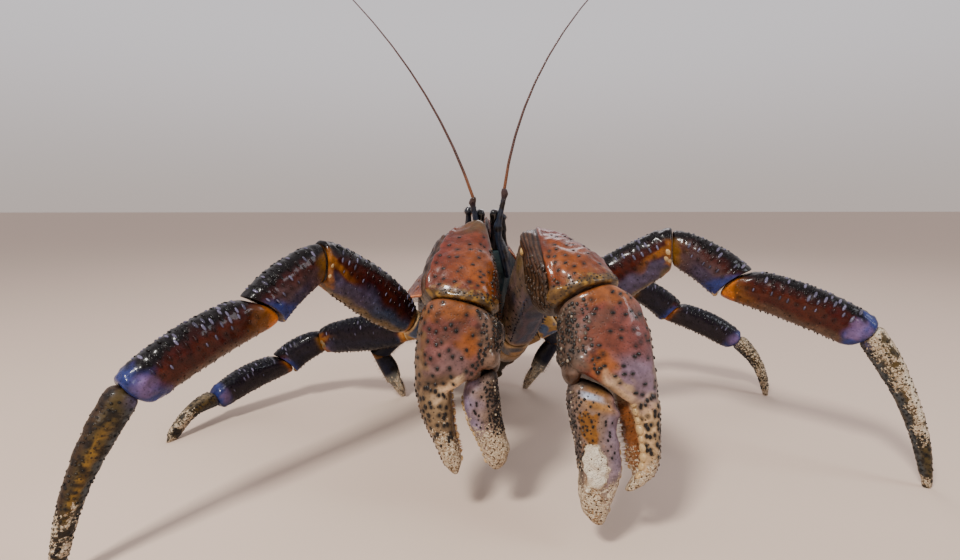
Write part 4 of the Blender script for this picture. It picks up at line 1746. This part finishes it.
# Short feelers. A jointed blue-black stem stands beside each eye on the front edge of the breast,
# and ends in a small tuft of bristles.
ANTENNULE_FOOT = np.array((0.0125, -0.0592, FACE_TOP + GAP))
ANTENNULE_TIP = {"r": np.array((0.0122, -0.068, 0.179)), "l": np.array((0.0102, -0.0655, 0.1745))}
ANTENNULE_KEYS = ((0.0, 0.0021, 0.0021), (0.45, 0.0015, 0.0015), (0.55, 0.002, 0.002), (0.8, 0.0016, 0.0016),
                  (0.9, 0.0025, 0.0025), (1.0, 0.001, 0.001))
feeler_blue_shell = shell_finish("feeler_navy_shell", 0.35, 0.4, 0.0008, 0.00005)

for side in "rl":
    foot, tip = sided(ANTENNULE_FOOT, side), sided(ANTENNULE_TIP[side], side)
    cuts = (UP, unit(tip - foot))
    feeler = Tube(foot, tip, cuts, outward_of(side), FRONT, ANTENNULE_KEYS, size=1.15)
    blue = plain_paint(tone(22, 24, 34), NIGHT, 0.006, 702)
    node = "antennule_" + side
    item = shell(node, feeler, blue, feeler_blue_shell, 0.0004, None, (0.0004, 0.0004), True)
    rows = (range(0, 360, 60), (0.85, 0.97), 6, 703, (10, 0.4))
    studded(item, feeler, rows, BRISTLE, (0.0001, 0.0001, 0.0012), tone(110, 70, 40), 704)
    handed(item, node)

# Long feelers. Each has a blue-black stem with a knuckle half way, and a long thin whip of many
# rings on its top, which leans further out the higher it goes.
ANTENNA_FOOT = np.array((0.0135, FACE_Y - GAP, 0.141))
ANTENNA_JOINT = {"r": np.array((0.0099, -0.076, 0.185)), "l": np.array((0.0104, -0.0765, 0.1905))}
STEM_KEYS = (
    (0.0, 0.0028, 0.003), (0.25, 0.0026, 0.0029, -0.0026, 0.0014), (0.45, 0.0024, 0.0026, -0.0052, 0.002),
    (0.52, 0.0028, 0.003, -0.0052, 0.0018), (0.6, 0.002, 0.0022, -0.0042, 0.0012),
    (0.86, 0.0016, 0.0018, -0.0008), (0.94, 0.0023, 0.0024), (1.0, 0.0016, 0.0016),
)
WHIP_LENGTH = 0.195
WHIP_LEAN = {"r": np.radians((20, 56)), "l": np.radians((9, 60))}
WHIP_SUNK = 0.0016
# Radius at the root beyond that at the tip, radius at the tip, and how it thins between them
WHIP_TAPER = (0.0012, 0.0003, 1.4)
WHIP_STEPS = 12
WHIP_CUTS = 520
WHIP_SIDES = 12
WHIP_RINGS = 120
WHIP_SMOOTHINGS = 60


def stem_paint(place, turn, points):
    """Colours of a feeler's stem: blue-black, amber towards its top."""
    blue = (NIGHT, ramp(mottle(points, 0.007, 705), 0.0, 1.2))
    return layered(place, tone(28, 35, 50), blue, (tone(84, 50, 26), ramp(place, 0.8, 0.95) * 0.4)), 0.1, 0.0


def whip_line(joint, outward, lean):
    """The curved middle line of a whip, from just inside its stem."""
    leans = lean[0] + (lean[1] - lean[0]) * np.arange(WHIP_STEPS - 1) / (WHIP_STEPS - 1)
    ways = outward * np.sin(leans)[:, None] + UP * np.cos(leans)[:, None]
    start = joint - ways[0] * WHIP_SUNK
    steps = ways * (WHIP_LENGTH / (WHIP_STEPS - 1))
    spine = np.cumsum([start, *steps], axis=0)
    part = np.linspace(0, 1, WHIP_CUTS)
    knots = np.linspace(0, 1, WHIP_STEPS)
    line = np.stack([np.interp(part, knots, spine[:, axis]) for axis in range(3)], axis=1)
    for _ in range(WHIP_SMOOTHINGS):
        line[1:-1] = (line[:-2] + line[2:] + 2 * line[1:-1]) / 4
    return part, line


def whip(side, joint, outward):
    """The long ringed whip of one feeler."""
    low, high = WHIP_LEAN[side]
    part, line = whip_line(joint, outward, (low, high))
    lean = low + (high - low) * part
    sideways = outward * np.cos(lean)[:, None] - UP * np.sin(lean)[:, None]
    ring = np.abs(np.sin(part * math.pi * WHIP_RINGS))
    root, tip, thinning = WHIP_TAPER
    radius = (root * (1 - part) ** thinning + tip) * (0.64 + 0.09 * ring)
    radius[-1] *= 0.4
    turns = np.linspace(0, 2 * math.pi, WHIP_SIDES, endpoint=False)[None, :, None]
    round_way = sideways[:, None] * np.cos(turns) - FRONT * np.sin(turns)
    points = line[:, None] + round_way * radius[:, None, None]
    place = np.broadcast_to(part[:, None], points.shape[:2])
    tint = layered(
        place, tone(84, 58, 52),
        (tone(46, 32, 32), ramp(ring[:, None] + 0 * place, 0.7, 0.2)),
        (tone(124, 72, 32), ramp(place, 0.14, 0.03) * 0.55),
        (tone(96, 84, 90), ramp(place, 0.35, 0.8) * 0.6),
    )
    return laid_mesh("antenna_flagellum_" + side, points, (tint, 0.0, 0.0), feeler_shell)


for side in "rl":
    outward = outward_of(side)
    foot, joint = sided(ANTENNA_FOOT, side), sided(ANTENNA_JOINT[side], side)
    lean = WHIP_LEAN[side][0]
    rise = sided((math.sin(lean), 0, math.cos(lean)), side)
    stem = Tube(foot, joint, (FRONT, rise), outward, FRONT, STEM_KEYS)
    node = "antenna_base_" + side
    skin = tone(48, 36, 34)
    item = shell(node, stem, stem_paint, feeler_blue_shell, 0.0005, None, (0.0006, 0.0005), joint=skin)
    rows = (range(0, 360, 45), (0.1, 0.9), 9, 706, (10, 0.4))
    studded(item, stem, rows, KNOB, (0.0004, 0.0005, 0.0003), NIGHT, 707)
    handed(item, node)
    handed(whip(side, joint, outward), "antenna_flagellum_" + side)

# Jaw legs. The outer pair of mouth legs hangs in front of the mouth, two flat blue-grey blades with
# a knuckle between and fringes of amber bristles along their edges.
MAXILLIPED_FOOT = np.array((0.0037, FACE_Y - GAP, 0.126))
MAXILLIPED_TIP = np.array((0.004, -0.073, 0.086))
JAW_KEYS = ((0.0, 0.003, 0.0044), (0.3, 0.0034, 0.0062), (0.44, 0.0026, 0.0044), (0.6, 0.0033, 0.0056),
            (0.9, 0.0026, 0.004), (1.0, 0.0012, 0.0016))
JAW_BOW = 0.006
jaw_shell = shell_finish("jaw_belly_blue_shell", 0.42, 0.25)

for side in "rl":
    foot, tip = sided(MAXILLIPED_FOOT, side), sided(MAXILLIPED_TIP, side)
    cuts = (FRONT, unit(tip - foot))
    jaw = Tube(foot, tip, cuts, outward_of(side), FRONT, JAW_KEYS, bow=JAW_BOW)
    grey = plain_paint(tone(52, 54, 60), tone(116, 78, 38), 0.009, 708)
    node = "maxilliped_" + side
    item = shell(node, jaw, grey, jaw_shell, 0.0006, None, (0.0008, 0.0006), True, SKIN)
    rows = ((172, 180, 188, 352, 0, 8), (0.12, 0.96), 30, 709, (6, 0.4))
    studded(item, jaw, rows, BRISTLE, (0.00016, 0.00016, 0.0034), tone(150, 92, 44), 710)
    handed(item, node)

# Floor. The crab stands on a plain pale floor that reaches far behind it. It belongs to the stage,
# not to the model.
FLOOR_HALF = 14.0
FLOOR_HEIGHT = -0.0002
floor_paint = bpy.data.materials.new("pale_floor")
floor_paint.use_nodes = True
floor_shader = floor_paint.node_tree.nodes["Principled BSDF"]
floor_shader.inputs["Base Color"].default_value = (0.66, 0.51, 0.41, 1)
floor_shader.inputs["Roughness"].default_value = 0.9
floor_mesh = bpy.data.meshes.new("floor")
corners = [(x * FLOOR_HALF, y * FLOOR_HALF, FLOOR_HEIGHT) for x, y in ((-1, -1), (1, -1), (1, 1), (-1, 1))]
floor_mesh.from_pydata(corners, [], [(0, 1, 2, 3)])
floor_mesh.materials.append(floor_paint)
floor = bpy.data.objects.new("floor", floor_mesh)
bpy.context.scene.collection.objects.link(floor)

# Lamps and sky. One warm soft lamp from the upper left of the view, a weak cool one from the right, a
# weak rim lamp from behind, and a soft pale sky. Each lamp has its place, the spot that it points at,
# its size, its power and its colour.
LAMPS = {
    "key_lamp": ((-0.6, -0.85, 1.15), (0, -0.05, 0.1), 0.24, 25.0, (1.0, 0.96, 0.9)),
    "fill_lamp": ((1.1, -0.6, 0.9), (0, -0.05, 0.1), 0.5, 6.0, (0.88, 0.93, 1.0)),
    "rim_lamp": ((0.3, 1.2, 1.1), (0, 0, 0.1), 0.6, 4.0, (1.0, 0.92, 0.94)),
}
for name, (place, aim, size, power, colour) in LAMPS.items():
    light = bpy.data.lights.new(name, "AREA")
    light.size = size
    light.energy = power
    light.color = colour
    lamp = bpy.data.objects.new(name, light)
    lamp.location = place
    way = mathutils.Vector(aim) - mathutils.Vector(place)
    lamp.rotation_euler = way.to_track_quat("-Z", "Y").to_euler()
    bpy.context.scene.collection.objects.link(lamp)
sky = bpy.data.worlds.new("soft_sky")
sky.use_nodes = True
sky_light = sky.node_tree.nodes["Background"]
sky_way = wire(sky.node_tree, "SeparateXYZ", {0: wire(sky.node_tree, "TexCoord").outputs["Generated"]})
sky_back = faded(sky.node_tree, sky_way.outputs["Y"], -0.6, 0.6, 0.5, 0.9)
sky_rise = faded(sky.node_tree, sky_way.outputs["Z"], -0.02, 0.3)
sky_tint = blended(sky.node_tree, sky_rise, (0.66, 0.57, 0.53, 1), (0.92, 0.87, 0.9, 1))
sky.node_tree.links.new(sky_tint, sky_light.inputs["Color"])
sky.node_tree.links.new(sky_back, sky_light.inputs["Strength"])
bpy.context.scene.world = sky

# Camera. It stands close in front of the claws, a little above the back, and looks slightly down
# through a wide lens.
CAMERA_PLACE = (-0.0511, -0.4215, 0.18)
CAMERA_TURN = (82.37, 0.0, -4.0)
lens = bpy.data.cameras.new("camera")
lens.lens = 21.0
lens.sensor_width = 36.0
lens.clip_start = 0.01
camera = bpy.data.objects.new("camera", lens)
camera.location = CAMERA_PLACE
camera.rotation_euler = [math.radians(angle) for angle in CAMERA_TURN]
bpy.context.scene.collection.objects.link(camera)
bpy.context.scene.camera = camera
